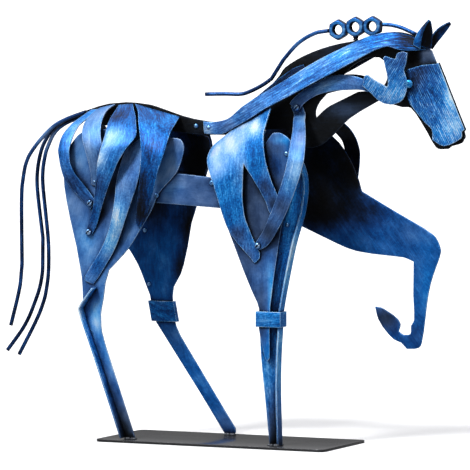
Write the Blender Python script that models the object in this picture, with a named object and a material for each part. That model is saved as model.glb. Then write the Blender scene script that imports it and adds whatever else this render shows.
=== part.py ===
"""A walking horse, cut and bent from thin sheet steel, on a thin plate with rounded corners.

A flat core plate on the centre plane carries the topline, the neck and the head. On each side,
bent strips run from the core out to a flat thigh plate and shoulder plate, and these go down
into the legs. +X points to the head, +Z up, and the horse's right side faces -Y. The origin is
the centre of the base plate's underside.
"""

import math

import bmesh
import bpy
from mathutils import Vector
from mathutils.bvhtree import BVHTree

MM = 0.001

# Height from the soles to the ear tips. The outlines are drawn in millimetres, with z measured
# from the soles, for a horse of DRAWN_HEIGHT.
HORSE_HEIGHT = 317.0
DRAWN_HEIGHT = 317.0

# Base plate
BASE_LENGTH = 188.0
BASE_WIDTH = 80.0
BASE_THICKNESS = 2.0
BASE_CORNER = 4.5

# Sheet and wire
CORE_SHEET = 1.5
PLATE_SHEET = 1.2
STRIP_SHEET = 1.0
EAR_SHEET = 0.8
GAP = 0.3
ROD_DIAMETER = 3.0

# Distance of the leg plates from the centre plane, at the soles and at the hips
SOLE_SPREAD = 30.0
HIP_SPREAD = 24.5
HIP_HEIGHT = 222.5

# Legs
TENDON_DEPTH = 8.0
FORE_LEG_INSET = 7.0
CUFF_WALL = 1.0
FORE_CUFF_HEIGHT = 11.5
HIND_CUFF_HEIGHT = 15.5
HIND_CUFF_LEAN = -0.19

# Head
FACE_SWELL = 9.0
FACE_SWELL_RUN = 20.0
FACE_BENDS = 5
CHEEK_DEPTH = 9.2
CHEEK_SLOPE = 0.1
CHEEK_DOME = 1.2

# Nuts on the mane and screws
NUT_ACROSS_FLATS = 13.5
NUT_HOLE = 7.8
NUT_THICKNESS = 6.0
SCREW_HEAD = 4.4
SCREW_HEAD_HEIGHT = 1.6
RIVET_HEAD = 6.0
RIVET_HEAD_HEIGHT = 1.6
RIVET_SHANK = 2.4

# How far the raised foreleg swings the left shoulder blade forward
BLADE_SWING = math.radians(24.0)
BLADE_PIVOT = (28.0, 236.0)
BLADE_ADVANCE = 12.0

SCALE = HORSE_HEIGHT / DRAWN_HEIGHT
SOLE = BASE_THICKNESS + GAP
CORE_FACE = CORE_SHEET / 2 + GAP + STRIP_SHEET / 2
RIGHT, LEFT = -1, 1
CROWN_WIDTH = 10.0
ROUND_SIDES = 10
# How much of a head's height its rim takes, and how wide its flat top is against its rim
RIM_SHARE = 0.55
FLAT_SHARE = 0.62
SMOOTH_ANGLE = math.radians(35)
SMOOTH_STEPS = 3
OUTLINE_TOLERANCE = 0.2
BEND_TOLERANCE = 0.45

BLUE = (0.03, 0.12, 0.42)
SLATE = (0.10, 0.16, 0.28)
GRAPHITE = (0.05, 0.055, 0.065)
SILVER = (0.55, 0.57, 0.60)


def paint(name, colour, roughness=0.4, metallic=0.85):
    material = bpy.data.materials.new(name)
    material.use_nodes = True
    shader = material.node_tree.nodes["Principled BSDF"]
    shader.inputs["Base Color"].default_value = (*colour, 1.0)
    shader.inputs["Roughness"].default_value = roughness
    shader.inputs["Metallic"].default_value = metallic
    return material


def lift(x, depth, z):
    """A drawn point, with its real distance from the centre plane, in metres."""
    return Vector((x * SCALE * MM, depth * MM, (SOLE + z * SCALE) * MM))


def spread_at(z):
    """Middle of a leg plate: the plates stand wider at the soles than at the hips."""
    return SOLE_SPREAD - (SOLE_SPREAD - HIP_SPREAD) * z / HIP_HEIGHT


def layer(z, number):
    """Middle of the strip that lies as the given layer on the outside of a leg plate."""
    first = spread_at(z) + PLATE_SHEET / 2 + GAP + STRIP_SHEET / 2
    return first + (number - 1) * (STRIP_SHEET + GAP)


def inner_layer(z):
    """Middle of a strip on the inside of a leg plate."""
    return spread_at(z) - PLATE_SHEET / 2 - GAP - STRIP_SHEET / 2


def simplify(points, tolerance):
    """The fewest of the points that still keep the curve within the tolerance."""
    first, last = points[0], points[-1]
    chord = last - first
    worst, index = 0.0, 0
    for i in range(1, len(points) - 1):
        share = (points[i] - first).dot(chord) / chord.dot(chord)
        miss = (points[i] - first - chord * min(max(share, 0.0), 1.0)).length
        if miss > worst:
            worst, index = miss, i
    if worst <= tolerance:
        return [first, last]
    return simplify(points[:index + 1], tolerance)[:-1] + simplify(points[index:], tolerance)


def smooth(points, tolerance, steps=SMOOTH_STEPS):
    """A curve through all the points, with as few places on it as the tolerance allows."""
    points = [Vector(p) for p in points]
    if len(points) == 2:
        return points
    chords = [(b - a).length for a, b in zip(points, points[1:])]
    tangents = [(points[1] - points[0]) / chords[0]]
    for i in range(1, len(points) - 1):
        tangents.append((points[i + 1] - points[i - 1]) / (chords[i - 1] + chords[i]))
    tangents.append((points[-1] - points[-2]) / chords[-1])
    curve = []
    for i, chord in enumerate(chords):
        for step in range(steps):
            t = step / steps
            start = points[i] * (2 * t**3 - 3 * t**2 + 1) + tangents[i] * chord * (t**3 - 2 * t**2 + t)
            end = points[i + 1] * (3 * t**2 - 2 * t**3) + tangents[i + 1] * chord * (t**3 - t**2)
            curve.append(start + end)
    curve.append(points[-1])
    return simplify(curve, tolerance)


def outline(runs):
    """A closed outline. Each run is a smooth curve that starts where the last one ended."""
    corners = []
    previous = runs[-1][-1]
    for run in runs:
        corners += smooth([previous, *run], OUTLINE_TOLERANCE)[:-1]
        previous = run[-1]
    return [(p.x, p.y) for p in corners]


def add_object(name, verts, faces, material):
    mesh = bpy.data.meshes.new(name)
    mesh.from_pydata([tuple(v) for v in verts], [], faces)
    bm = bmesh.new()
    bm.from_mesh(mesh)
    bmesh.ops.recalc_face_normals(bm, faces=bm.faces)
    bm.to_mesh(mesh)
    bm.free()
    mesh.shade_smooth()
    mesh.set_sharp_from_angle(angle=SMOOTH_ANGLE)
    mesh.materials.append(material)
    piece = bpy.data.objects.new(name, mesh)
    bpy.context.scene.collection.objects.link(piece)
    return piece


def thicken(name, verts, faces, thickness, material):
    """Make a closed solid of even thickness around a sheet's middle surface of triangles."""
    around = [[] for _ in verts]
    for face in faces:
        a, b, c = (verts[i] for i in face)
        normal = (b - a).cross(c - a).normalized()
        for i, corner, left, right in zip(face, (a, b, c), (b, c, a), (c, a, b)):
            around[i].append((normal, (left - corner).angle(right - corner)))
    front, back = [], []
    for vert, shares in zip(verts, around):
        direction = sum((normal * angle for normal, angle in shares), Vector()).normalized()
        lean = sum(max(direction.dot(normal), 0.5) * angle for normal, angle in shares)
        lean /= sum(angle for normal, angle in shares)
        offset = direction * (thickness * MM / 2 / lean)
        front.append(vert + offset)
        back.append(vert - offset)
    count = len(verts)
    solid = [tuple(face) for face in faces]
    solid += [tuple(i + count for i in reversed(face)) for face in faces]
    uses = {}
    for face in faces:
        for a, b in zip(face, face[1:] + face[:1]):
            uses[(a, b)] = True
    solid += [(b, a, a + count, b + count) for a, b in uses if (b, a) not in uses]
    return add_object(name, front + back, solid, material)


def bend(name, side, lines, thickness, material, tolerance=BEND_TOLERANCE):
    """A sheet through two or more lines of (x, depth, z) that run along the piece together."""
    joined = [[value for point in row for value in point] for row in zip(*lines)]
    curve = smooth(joined, tolerance)
    rows = len(curve)
    verts = []
    for column in range(len(lines)):
        for row in curve:
            x, depth, z = row[3 * column:3 * column + 3]
            verts.append(lift(x, side * depth, z))
    faces = []
    for c in range(len(lines) - 1):
        for r in range(rows - 1):
            here, across = c * rows + r, (c + 1) * rows + r
            if (verts[here] - verts[across + 1]).length < (verts[here + 1] - verts[across]).length:
                faces += [[here, here + 1, across + 1], [here, across + 1, across]]
            else:
                faces += [[here, here + 1, across], [here + 1, across + 1, across]]
    return thicken(name, verts, faces, thickness, material)


def strip(name, side, rows, material, crown=0.8, thickness=STRIP_SHEET):
    """A bent strip. Each row gives one edge's x and depth and z, then the other edge's.

    The middle swells out by the crown, and by less where the strip is narrow.
    """
    first = [row[0] for row in rows]
    second = [row[1] for row in rows]
    middle = []
    for a, b in zip(first, second):
        swell = crown * min(1.0, math.dist(a, b) / CROWN_WIDTH)
        middle.append(((a[0] + b[0]) / 2, (a[1] + b[1]) / 2 + swell, (a[2] + b[2]) / 2))
    return bend(name, side, [first, middle, second], thickness, material)


def body_rows(stations, number):
    """Rows of a strip that goes from the core, where reach is 0, out to a leg plate, at 1."""
    rows = []
    for rear_x, rear_z, front_x, front_z, reach in stations:
        row = []
        for x, z in ((rear_x, rear_z), (front_x, front_z)):
            row.append((x, CORE_FACE + reach * (layer(z, number) - CORE_FACE), z))
        rows.append(row)
    return rows


def neck_rows(stations):
    """Rows of a strip on the neck, with each edge's distance out from the core's face."""
    rows = []
    for upper_x, upper_z, upper_out, lower_x, lower_z, lower_out in stations:
        upper = (upper_x, CORE_FACE + upper_out * SCALE, upper_z)
        lower = (lower_x, CORE_FACE + lower_out * SCALE, lower_z)
        rows.append((upper, lower))
    return rows


def plate(name, side, loops, depth, thickness, material, cuts=(), move=None):
    """A cut plate. depth(x, z, height) bends it, and the cuts are where it may bend."""
    bm = bmesh.new()
    edges = []
    for loop in loops:
        ring = [bm.verts.new((x, 0.0, z)) for x, z in loop]
        edges += [bm.edges.new(pair) for pair in zip(ring, ring[1:] + ring[:1])]
    bmesh.ops.triangle_fill(bm, use_beauty=True, use_dissolve=False, edges=edges)
    for (x, z), (across_x, across_z) in cuts:
        geometry = bm.verts[:] + bm.edges[:] + bm.faces[:]
        normal = (across_x, 0.0, across_z)
        bmesh.ops.bisect_plane(bm, geom=geometry, plane_co=(x, 0.0, z), plane_no=normal, dist=0.05)
    bmesh.ops.triangulate(bm, faces=bm.faces)
    bmesh.ops.recalc_face_normals(bm, faces=bm.faces)
    bm.verts.index_update()
    verts = []
    for v in bm.verts:
        x, z = v.co.x, v.co.z
        new_x, new_z = move(x, z) if move else (x, z)
        verts.append(lift(new_x, side * depth(x, z, new_z), new_z))
    faces = [[v.index for v in face.verts] for face in bm.faces]
    bm.free()
    return thicken(name, verts, faces, thickness, material)


def levels(low, high, count):
    """Cuts straight across a plate, spaced evenly from low to high."""
    step = (high - low) / (count - 1)
    return [((0.0, low + i * step), (0.0, 1.0)) for i in range(count)]


def rod(name, points, material):
    curve = bpy.data.curves.new(name, "CURVE")
    curve.dimensions = "3D"
    curve.bevel_depth = ROD_DIAMETER / 2 * MM
    curve.bevel_resolution = 2
    curve.use_fill_caps = True
    spline = curve.splines.new("POLY")
    route = [lift(p.x, p.y, p.z) for p in smooth(points, OUTLINE_TOLERANCE)]
    spline.points.add(len(route) - 1)
    for point, place in zip(spline.points, route):
        point.co = (*place, 1.0)
    curve.materials.append(material)
    piece = bpy.data.objects.new(name, curve)
    bpy.context.scene.collection.objects.link(piece)
    return piece


def ring(name, outer, inner, near, far, place, material):
    """A prism with a hole. place turns (across, up, along) into a point in metres."""
    count = len(outer)
    verts = [place(a, b, along) for along in (near, far) for loop in (outer, inner) for a, b in loop]
    faces = []
    for i in range(count):
        j = (i + 1) % count
        faces.append((i, j, j + count, i + count))
        faces.append((i + 2 * count, i + 3 * count, j + 3 * count, j + 2 * count))
        faces.append((i, i + 2 * count, j + 2 * count, j))
        faces.append((i + count, j + count, j + 3 * count, i + 3 * count))
    return add_object(name, verts, faces, material)


def turned(name, side, centre, profile, material):
    """A round fastener whose axis runs across the horse, from a profile of (radius, depth)."""
    x, z = centre
    middle = lift(x, 0.0, z)
    verts = []
    for radius, depth in profile:
        for i in range(ROUND_SIDES):
            angle = 2 * math.pi * i / ROUND_SIDES
            reach = Vector((radius * math.cos(angle), side * depth, radius * math.sin(angle)))
            verts.append(middle + reach * MM)
    faces = []
    for level in range(len(profile) - 1):
        for i in range(ROUND_SIDES):
            a = level * ROUND_SIDES + i
            b = level * ROUND_SIDES + (i + 1) % ROUND_SIDES
            faces.append((a, b, b + ROUND_SIDES, a + ROUND_SIDES))
    last = (len(profile) - 1) * ROUND_SIDES
    faces.append(tuple(range(ROUND_SIDES)))
    faces.append(tuple(last + i for i in range(ROUND_SIDES)))
    return add_object(name, verts, faces, material)


def seat_on(sheet, side, centre, radius):
    """How far out a sheet reaches under a round head, in millimetres."""
    verts = [v.co for v in sheet.data.vertices]
    tree = BVHTree.FromPolygons(verts, [tuple(p.vertices) for p in sheet.data.polygons])
    middle = lift(centre[0], side * 100, centre[1])
    hits = [tree.ray_cast(middle, Vector((0, -side, 0)))[0]]
    for i in range(ROUND_SIDES):
        angle = 2 * math.pi * i / ROUND_SIDES
        rim = Vector((math.cos(angle), 0, math.sin(angle))) * radius * MM
        hits.append(tree.ray_cast(middle + rim, Vector((0, -side, 0)))[0])
    return max(abs(hit.y) for hit in hits if hit) / MM


def at_end(rows, along, across):
    """A drawn place near a strip's end: along goes from its last row towards the one before."""
    places = []
    for (first_x, depth, first_z), (second_x, depth, second_z) in (rows[-1], rows[-2]):
        places.append(Vector((first_x, first_z)).lerp(Vector((second_x, second_z)), across))
    return tuple(places[0].lerp(places[1], along))


def screw(name, side, centre, sheet, material):
    """A pan head on the outer face of a sheet."""
    radius = SCREW_HEAD / 2
    low = seat_on(sheet, side, centre, radius) + GAP
    rim = low + RIM_SHARE * SCREW_HEAD_HEIGHT
    profile = [(radius, low), (radius, rim), (FLAT_SHARE * radius, low + SCREW_HEAD_HEIGHT)]
    return turned(name, side, centre, profile, material)


def build_base():
    loop = []
    for index in range(4):
        sign_x = 1 if index in (0, 3) else -1
        sign_y = 1 if index < 2 else -1
        centre_x = sign_x * (BASE_LENGTH / 2 - BASE_CORNER)
        centre_y = sign_y * (BASE_WIDTH / 2 - BASE_CORNER)
        for step in range(5):
            angle = math.pi / 2 * (index + step / 4)
            loop.append((centre_x + BASE_CORNER * math.cos(angle), centre_y + BASE_CORNER * math.sin(angle)))
    count = len(loop)
    verts = [Vector((x * MM, y * MM, z * MM)) for z in (0.0, BASE_THICKNESS) for x, y in loop]
    faces = [tuple(range(count)), tuple(range(count, 2 * count))]
    faces += [(i, (i + 1) % count, (i + 1) % count + count, i + count) for i in range(count)]
    add_object("base_plate", verts, faces, paint("base graphite", GRAPHITE, 0.35, 0.6))


CORE_TOP = [(-104.5, 250), (-93.5, 251.5), (-83.5, 252), (-67, 250.5), (-52.5, 246.5), (-39.5, 242.5),
            (-25, 239.5), (-13.5, 238.5), (-5.5, 239.5), (1.5, 243), (10, 248.5), (24, 259), (32.5, 265.5),
            (40.5, 274), (45, 280), (60.5, 289), (81.5, 296.5), (107, 301.5), (125.5, 302.8),
            (139.5, 303), (149, 302), (158, 298), (163.5, 294)]
CORE_NOSE = [(189, 236.5), (190, 231), (187.5, 226.5), (179.5, 224), (177, 222), (168.5, 222), (164, 227)]
CORE_JAW = [(158, 237), (147, 251.5), (140, 252), (128.5, 255), (121, 256.5)]
CORE_THROAT = [(97.5, 243), (84.5, 230.5), (75, 223), (63.5, 220.5), (55, 226), (45, 234)]
CORE_BELLY = [(26, 233), (8, 229.5), (-21, 228.5), (-33.5, 229.3), (-50, 231), (-67, 232.5), (-83.5, 234),
              (-104.5, 234), (-119, 237)]
CORE_WINDOW_LEFT = [(70, 247.5), (71.5, 252), (75, 257), (80.5, 262.5), (87, 270.5), (93.5, 276),
                    (100.5, 282.5), (111.5, 288), (121.5, 288.5)]
CORE_WINDOW_RIGHT = [(126.5, 285), (128.5, 278), (126, 269), (118.5, 264.5), (104.5, 263)]
CORE_WINDOW_BAR = [(89.5, 256), (79, 250.5), (70.5, 243)]


def build_core():
    rear_end = [(-119, 245.5)]
    outside = outline([CORE_TOP, [(167, 286)], CORE_NOSE, CORE_JAW, CORE_THROAT, CORE_BELLY, rear_end])
    window = outline([CORE_WINDOW_LEFT, CORE_WINDOW_RIGHT, CORE_WINDOW_BAR])
    material = paint("core graphite", GRAPHITE, 0.45, 0.7)
    plate("core_plate", RIGHT, [outside, window], lambda x, z, height: 0.0, CORE_SHEET, material)


THIGH_REAR = [(-121, 163.5), (-125.5, 183.5), (-127, 197), (-126, 208.5), (-122, 219), (-110.5, 230.5),
              (-86, 232.5), (-60, 233), (-40, 227)]
STANDING_THIGH_FRONT = [(-30, 226), (-27, 221), (-28, 213), (-33, 200.5), (-46.5, 186), (-53.5, 172),
                        (-60, 161.5), (-72, 143), (-88, 126.5)]
STANDING_SHANK_FRONT = [(-91, 116.5), (-92.5, 104.5), (-94.5, 93), (-93.5, 79.5), (-88.5, 64.5), (-77, 34),
                        (-64.5, 0)]
STANDING_SHANK_REAR = [(-73, 0), (-100, 71.5), (-109.5, 96)]
STANDING_HOCK = [(-110, 104), (-110.5, 117.5), (-112, 126.5), (-115.5, 143)]
STEPPING_THIGH_TOP = [(-127, 197), (-126, 208.5), (-120, 216), (-108, 222), (-93, 229), (-60, 233),
                      (-40, 227)]
STEPPING_THIGH_FRONT = [(-30, 226), (-27.5, 219), (-28.5, 210), (-32.5, 197), (-41, 170), (-44.5, 160),
                        (-47, 146.5), (-50.5, 131.5), (-54, 121), (-60, 111)]
STEPPING_SHANK = [(-61, 104), (-60, 93), (-58, 80.5), (-47, 62), (-9.5, 5)]
STEPPING_TOE = [(-9.5, 1.5), (-13, 0)]
STEPPING_REAR = [(-18, 0), (-39, 31.5), (-75, 83.5)]
STEPPING_HOCK = [(-78, 92), (-80, 104), (-83, 111.5), (-90, 127.5), (-97.5, 139), (-108, 152), (-118, 170),
                 (-123, 184)]
STANDING_TENDON = [(-98, 113), (-103.5, 106), (-107.5, 100.5), (-109.2, 96.5), (-100, 72.5), (-87, 38.5),
                   (-73, 1)]
STEPPING_TENDON = [(-72.5, 80), (-66, 71), (-39, 32.5), (-18, 2)]


def build_hind_legs():
    flat = lambda x, z, height: spread_at(height)
    slate = paint("leg slate blue", SLATE)
    standing = outline([THIGH_REAR, STANDING_THIGH_FRONT, STANDING_SHANK_FRONT, STANDING_SHANK_REAR[:1],
                        STANDING_SHANK_REAR[1:], STANDING_HOCK])
    plate("right_hind_leg", RIGHT, [standing], flat, PLATE_SHEET, slate)
    stepping = outline([STEPPING_THIGH_TOP, STEPPING_THIGH_FRONT, STEPPING_SHANK, STEPPING_TOE,
                        STEPPING_REAR[:1], STEPPING_REAR[1:], STEPPING_HOCK])
    plate("left_hind_leg", LEFT, [stepping], flat, PLATE_SHEET, paint("leg dark blue", BLUE))
    blue = paint("tendon blue", BLUE)
    foot = lambda z: spread_at(z) + PLATE_SHEET / 2 + GAP
    for word, side, route in (("right", RIGHT, STANDING_TENDON), ("left", LEFT, STEPPING_TENDON)):
        inner = [(x, foot(z), z) for x, z in route]
        outer = [(x, foot(z) + TENDON_DEPTH, z) for x, z in route]
        bend(f"{word}_hind_tendon", side, [inner, outer], PLATE_SHEET, blue)


HIP_STRIPS = [
    [(-115.5, 245.5, -109.5, 246, 0), (-119.5, 240.5, -113.5, 240, 0.35), (-124, 235, -117.5, 234, 0.68),
     (-128, 227, -118.5, 227, 0.97), (-129, 217, -119.5, 218, 1.16), (-127, 207.5, -118.5, 208.5, 1.23),
     (-124, 197, -115, 200, 1.22), (-117.5, 187, -109.5, 192.5, 1.13), (-111, 179.5, -104, 185, 1.03),
     (-103.5, 172, -98.5, 177.5, 1)],
    [(-108, 247, -95, 250, 0), (-110, 243.5, -96.5, 247, 0.36), (-111, 238.5, -96, 242.5, 0.73),
     (-110, 232.5, -94.5, 235.5, 1.06), (-108, 225.5, -92.5, 227, 1.25), (-104.5, 217, -89.5, 217, 1.32),
     (-102.5, 207, -90, 206.5, 1.23), (-102, 198, -92, 196, 1.1), (-103, 190.5, -96.5, 189.5, 1)],
    [(-92, 249.5, -80.5, 250.5, 0), (-91, 244, -73, 244.5, 0.48), (-89.5, 236.5, -66, 237, 1.0),
     (-89, 227, -63, 228, 1.28), (-90.5, 216.5, -69, 218.5, 1.45), (-92.5, 206, -76, 207, 1.47),
     (-94.5, 192.5, -82.5, 193.5, 1.39), (-97.5, 180, -88.5, 182, 1.24), (-101, 170, -94.5, 168.5, 1.09),
     (-105, 161, -98, 159.5, 1.02), (-107.5, 153, -102.5, 152, 1)],
    [(-74, 217, -61.5, 227, 1.02), (-78, 206, -60.5, 218, 1.06), (-79.5, 197.5, -60, 208.5, 1.13),
     (-80, 189, -61, 196.5, 1.21), (-80.5, 178.5, -64.5, 184, 1.24), (-83, 166, -69.5, 171, 1.22),
     (-87.5, 153, -75, 157.5, 1.15),
     (-94, 141.5, -81.5, 143.5, 1.06), (-101, 131.5, -88.5, 132.5, 1.01), (-107.5, 121, -96.5, 120.5, 1),
     (-107.5, 118, -100.5, 115.5, 1)],
    [(-78.5, 250.5, -41.5, 241.5, 0), (-70.5, 246, -39, 237, 0.5), (-64, 238.5, -37, 231.5, 1.02),
     (-59, 228.5, -36.5, 223.5, 1.32), (-56, 217.5, -37.5, 214.5, 1.49), (-55.5, 204, -41, 203.5, 1.53),
     (-57.5, 191, -45, 190.5, 1.45), (-61, 179, -50, 180, 1.28), (-64, 169, -54.5, 170, 1.1),
     (-65, 162.5, -58.5, 163, 1.01), (-63.5, 159.5, -61.5, 159.5, 1)],
]
STEPPING_STRIP_END = 140.0
# How far forward the strips on the stepping side lie, where they have left the core
STEPPING_STRIP_LEAN = 5.0
# Strips with a screw near their lower end, and the screw's place along and across that end
SCREWED_STRIPS = (1, 3)
END_SCREW = (0.3, 0.45)


def leaned(row):
    """A row of a hip strip, moved forward as far as it has left the core."""
    rear_x, rear_z, front_x, front_z, reach = row
    forward = STEPPING_STRIP_LEAN * min(reach, 1.0)
    return rear_x + forward, rear_z, front_x + forward, front_z, reach


def build_hips():
    for side, word in ((RIGHT, "right"), (LEFT, "left")):
        for index, stations in enumerate(HIP_STRIPS, 1):
            if side == LEFT:
                stations = [leaned(row) for row in stations if row[1] > STEPPING_STRIP_END]
            name = f"{word}_hip_strip_{index}"
            rows = body_rows(stations, 1)
            sheet = strip(name, side, rows, paint(name, BLUE))
            if index in SCREWED_STRIPS:
                name = f"{word}_hip_screw_{index}"
                screw(name, side, at_end(rows, *END_SCREW), sheet, paint(name, SILVER, 0.25, 1.0))


RIGHT_BELLY = [(-59, 202.5, 178.5), (-32.5, 200.5, 177.5), (-5, 198, 176), (7.5, 197, 175)]
LEFT_BELLY = [(-72, 200, 177), (-32, 196, 174), (0, 190, 171.5), (30, 184, 169.5), (47, 182, 168.5)]


def build_belly():
    for word, side, stations in (("right", RIGHT, RIGHT_BELLY), ("left", LEFT, LEFT_BELLY)):
        name = f"{word}_belly_strip"
        lines = [[(x, inner_layer(top), top) for x, top, bottom in stations],
                 [(x, inner_layer(bottom), bottom) for x, top, bottom in stations]]
        bend(name, side, lines, STRIP_SHEET, paint(name, BLUE))


SHOULDER_COVER_TOP = [(26, 211), (37, 219.5), (45.5, 231.5), (51, 232.5), (57, 230), (61, 226.5)]
SHOULDER_COVER_FRONT = [(61.5, 214.5), (60.5, 197.5), (57.5, 179), (53.5, 160), (49, 130.5), (45.5, 104),
                        (45, 88), (45.5, 65)]
SHOULDER_COVER_TONGUE = [(43.5, 62.5), (41.5, 65)]
SHOULDER_COVER_REAR = [(36.3, 87), (36.3, 101.5), (30, 115), (23.5, 129), (17.5, 143.5), (7.5, 166.5),
                       (2.5, 181.5), (5, 196.5), (15, 207)]
STANDING_FORE_LEG = [((62, 208), (67.5, 210)), ((60, 201), (70.5, 201.5)), ((56, 190), (71.5, 190)),
                     ((50, 170), (68.5, 170)), ((46, 150), (63, 152)), ((42, 131), (58.5, 131)),
                     ((38.5, 112.5), (55, 112.5)), ((36.5, 100), (52.6, 100)), ((36.3, 87.5), (52.2, 87.5)),
                     ((37.4, 66), (51, 66)), ((41.2, 34), (51, 34)), ((45.2, 0), (52.5, 0))]
RAISED_SHOULDER = [(42, 214), (50, 228.5), (58, 231.5), (65.5, 231), (72.5, 228.5), (80.5, 221),
                   (87.5, 210.5), (94, 196), (96.5, 187.5)]
RAISED_FOREARM = [(122.5, 173.5), (140, 164.5), (149.5, 159.5), (156, 154.5), (160, 145.5), (159, 140)]
RAISED_SHANK_FRONT = [(151.5, 119.5), (147.5, 98), (144.5, 77), (141.5, 71.5), (132, 70.5)]
RAISED_SOLE = [(127.5, 75), (122, 77), (114.5, 84), (109, 92), (106.5, 101.5)]
RAISED_HOOF_BACK = [(111, 101), (119, 97), (125, 92.5), (127, 88.5), (125.5, 83.5)]
RAISED_HEEL = [(129.5, 81), (135, 82), (135.5, 88), (138, 92.5), (137.5, 111), (138, 136)]
RAISED_ELBOW = [(129.5, 139), (92, 142.5), (68, 151), (47, 160)]
RAISED_REAR = [(38, 175), (37, 196)]


def build_fore_legs():
    flat = lambda x, z, height: spread_at(height)
    cover = outline([SHOULDER_COVER_TOP, SHOULDER_COVER_FRONT, SHOULDER_COVER_TONGUE, SHOULDER_COVER_REAR])
    plate("right_shoulder_cover", RIGHT, [cover], flat, PLATE_SHEET, paint("cover slate blue", SLATE))
    inset = lambda z: spread_at(z) - FORE_LEG_INSET
    behind = lambda z: spread_at(z) - PLATE_SHEET - 2 * GAP
    rear = [(x, behind(z), z) for (x, z), front in STANDING_FORE_LEG]
    corner = [(x, inset(z), z) for rear_point, (x, z) in STANDING_FORE_LEG]
    flange = [(x, inset(z) + FORE_LEG_INSET, z) for rear_point, (x, z) in STANDING_FORE_LEG]
    blue = paint("fore leg blue", BLUE)
    bend("right_fore_leg", RIGHT, [rear, corner, flange], PLATE_SHEET, blue)
    raised = outline([RAISED_SHOULDER, RAISED_FOREARM, RAISED_SHANK_FRONT, RAISED_SOLE, RAISED_HOOF_BACK,
                      RAISED_HEEL, RAISED_ELBOW, RAISED_REAR])
    plate("left_fore_leg", LEFT, [raised], flat, PLATE_SHEET, paint("raised leg blue", BLUE))


def build_cuff(name, side, rear, front, inside, outside, low, high, lean=0.0):
    """A rectangular band round a leg. rear and front are its inner faces at its lower edge."""
    wall = CUFF_WALL
    outer = [(rear - wall, outside + wall), (front + wall, outside + wall),
             (front + wall, inside - wall), (rear - wall, inside - wall)]
    inner = [(rear, outside), (front, outside), (front, inside), (rear, inside)]
    place = lambda x, depth, z: Vector(((x + lean * (z - low)) * MM, side * depth * MM, z * MM))
    ring(name, outer, inner, low, high, place, paint(name, BLUE))


# Rear and front of each cuff's inside, where it sits on its leg, and its lower edge
FORE_CUFF_REAR, FORE_CUFF_FRONT, FORE_CUFF_LOW = 36.0, 52.7, 88.0
HIND_CUFF_REAR, HIND_CUFF_FRONT, HIND_CUFF_LOW = -77.0, -57.7, 84.5


def build_cuffs():
    half = PLATE_SHEET / 2
    low = SOLE + FORE_CUFF_LOW * SCALE
    spread = spread_at(FORE_CUFF_LOW + FORE_CUFF_HEIGHT / 2)
    rear, front = FORE_CUFF_REAR * SCALE - half, FORE_CUFF_FRONT * SCALE + half + GAP
    inside, outside = spread - FORE_LEG_INSET - half - 2 * GAP, spread + half + 2 * GAP
    build_cuff("right_fore_cuff", RIGHT, rear, front, inside, outside, low, low + FORE_CUFF_HEIGHT)
    low = SOLE + HIND_CUFF_LOW * SCALE
    spread = spread_at(HIND_CUFF_LOW + HIND_CUFF_HEIGHT / 2)
    rear, front = HIND_CUFF_REAR * SCALE, HIND_CUFF_FRONT * SCALE
    inside, outside = spread - half - 2 * GAP, spread + half + 2 * GAP
    high = low + HIND_CUFF_HEIGHT
    build_cuff("left_hind_cuff", LEFT, rear, front, inside, outside, low, high, HIND_CUFF_LEAN)


BLADE_LEFT_EDGE = [(9, 235.5), (-1, 228), (-10.5, 220), (-11, 212), (-6, 203.5), (0.5, 192), (6, 175),
                   (14, 156), (29.5, 139), (33, 135.5), (37, 139)]
BLADE_INNER_EDGE = [(37, 143.5), (32.5, 151.5), (26, 167.5), (24, 180.5), (24, 198), (24.5, 209)]
BLADE_SHORT_PRONG = [(35, 194.5), (42.5, 181.5), (45.5, 173), (49.5, 174)]
BLADE_RIGHT_EDGE = [(53, 183), (50.5, 189.5), (46.5, 199), (43, 209.5), (41, 219), (39, 231), (39.5, 240),
                    (40.5, 249)]
BLADE_TOP = [(39, 251.5), (25, 247), (12.5, 238.5)]
BLADE_TOP_SLOPE = 0.58
BLADE_TOP_START = (5.0, 233.0)
BLADE_INWARD = 18.2
BLADE_INWARD_TAPER = 0.18
BLADE_CURVE_RUN = 40.0
BLADE_SWELL = 3.5
BLADE_SWELL_RUN = 95.0
BLADE_CUTS = (4, 10, 17, 26, 39, 58)


def blade_depth(x, z, height):
    """The blade leans in under the neck strip, swells a little and ends flat on the leg plate."""
    below = max(0.0, BLADE_TOP_START[1] + BLADE_TOP_SLOPE * (x - BLADE_TOP_START[0]) - z)
    inward = BLADE_INWARD - BLADE_INWARD_TAPER * (x - BLADE_TOP_START[0])
    inward *= (1 - min(below / BLADE_CURVE_RUN, 1)) ** 2
    swell = BLADE_SWELL * math.sin(math.pi * min(below / BLADE_SWELL_RUN, 1))
    return layer(height, 1) + swell - inward


def swing(x, z):
    """Turn a point of the shoulder blade forward about its pivot, with the raised leg."""
    across, down = x - BLADE_PIVOT[0], z - BLADE_PIVOT[1]
    new_x = BLADE_PIVOT[0] + across * math.cos(BLADE_SWING) - down * math.sin(BLADE_SWING)
    new_z = BLADE_PIVOT[1] + across * math.sin(BLADE_SWING) + down * math.cos(BLADE_SWING)
    return new_x + BLADE_ADVANCE, new_z


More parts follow.
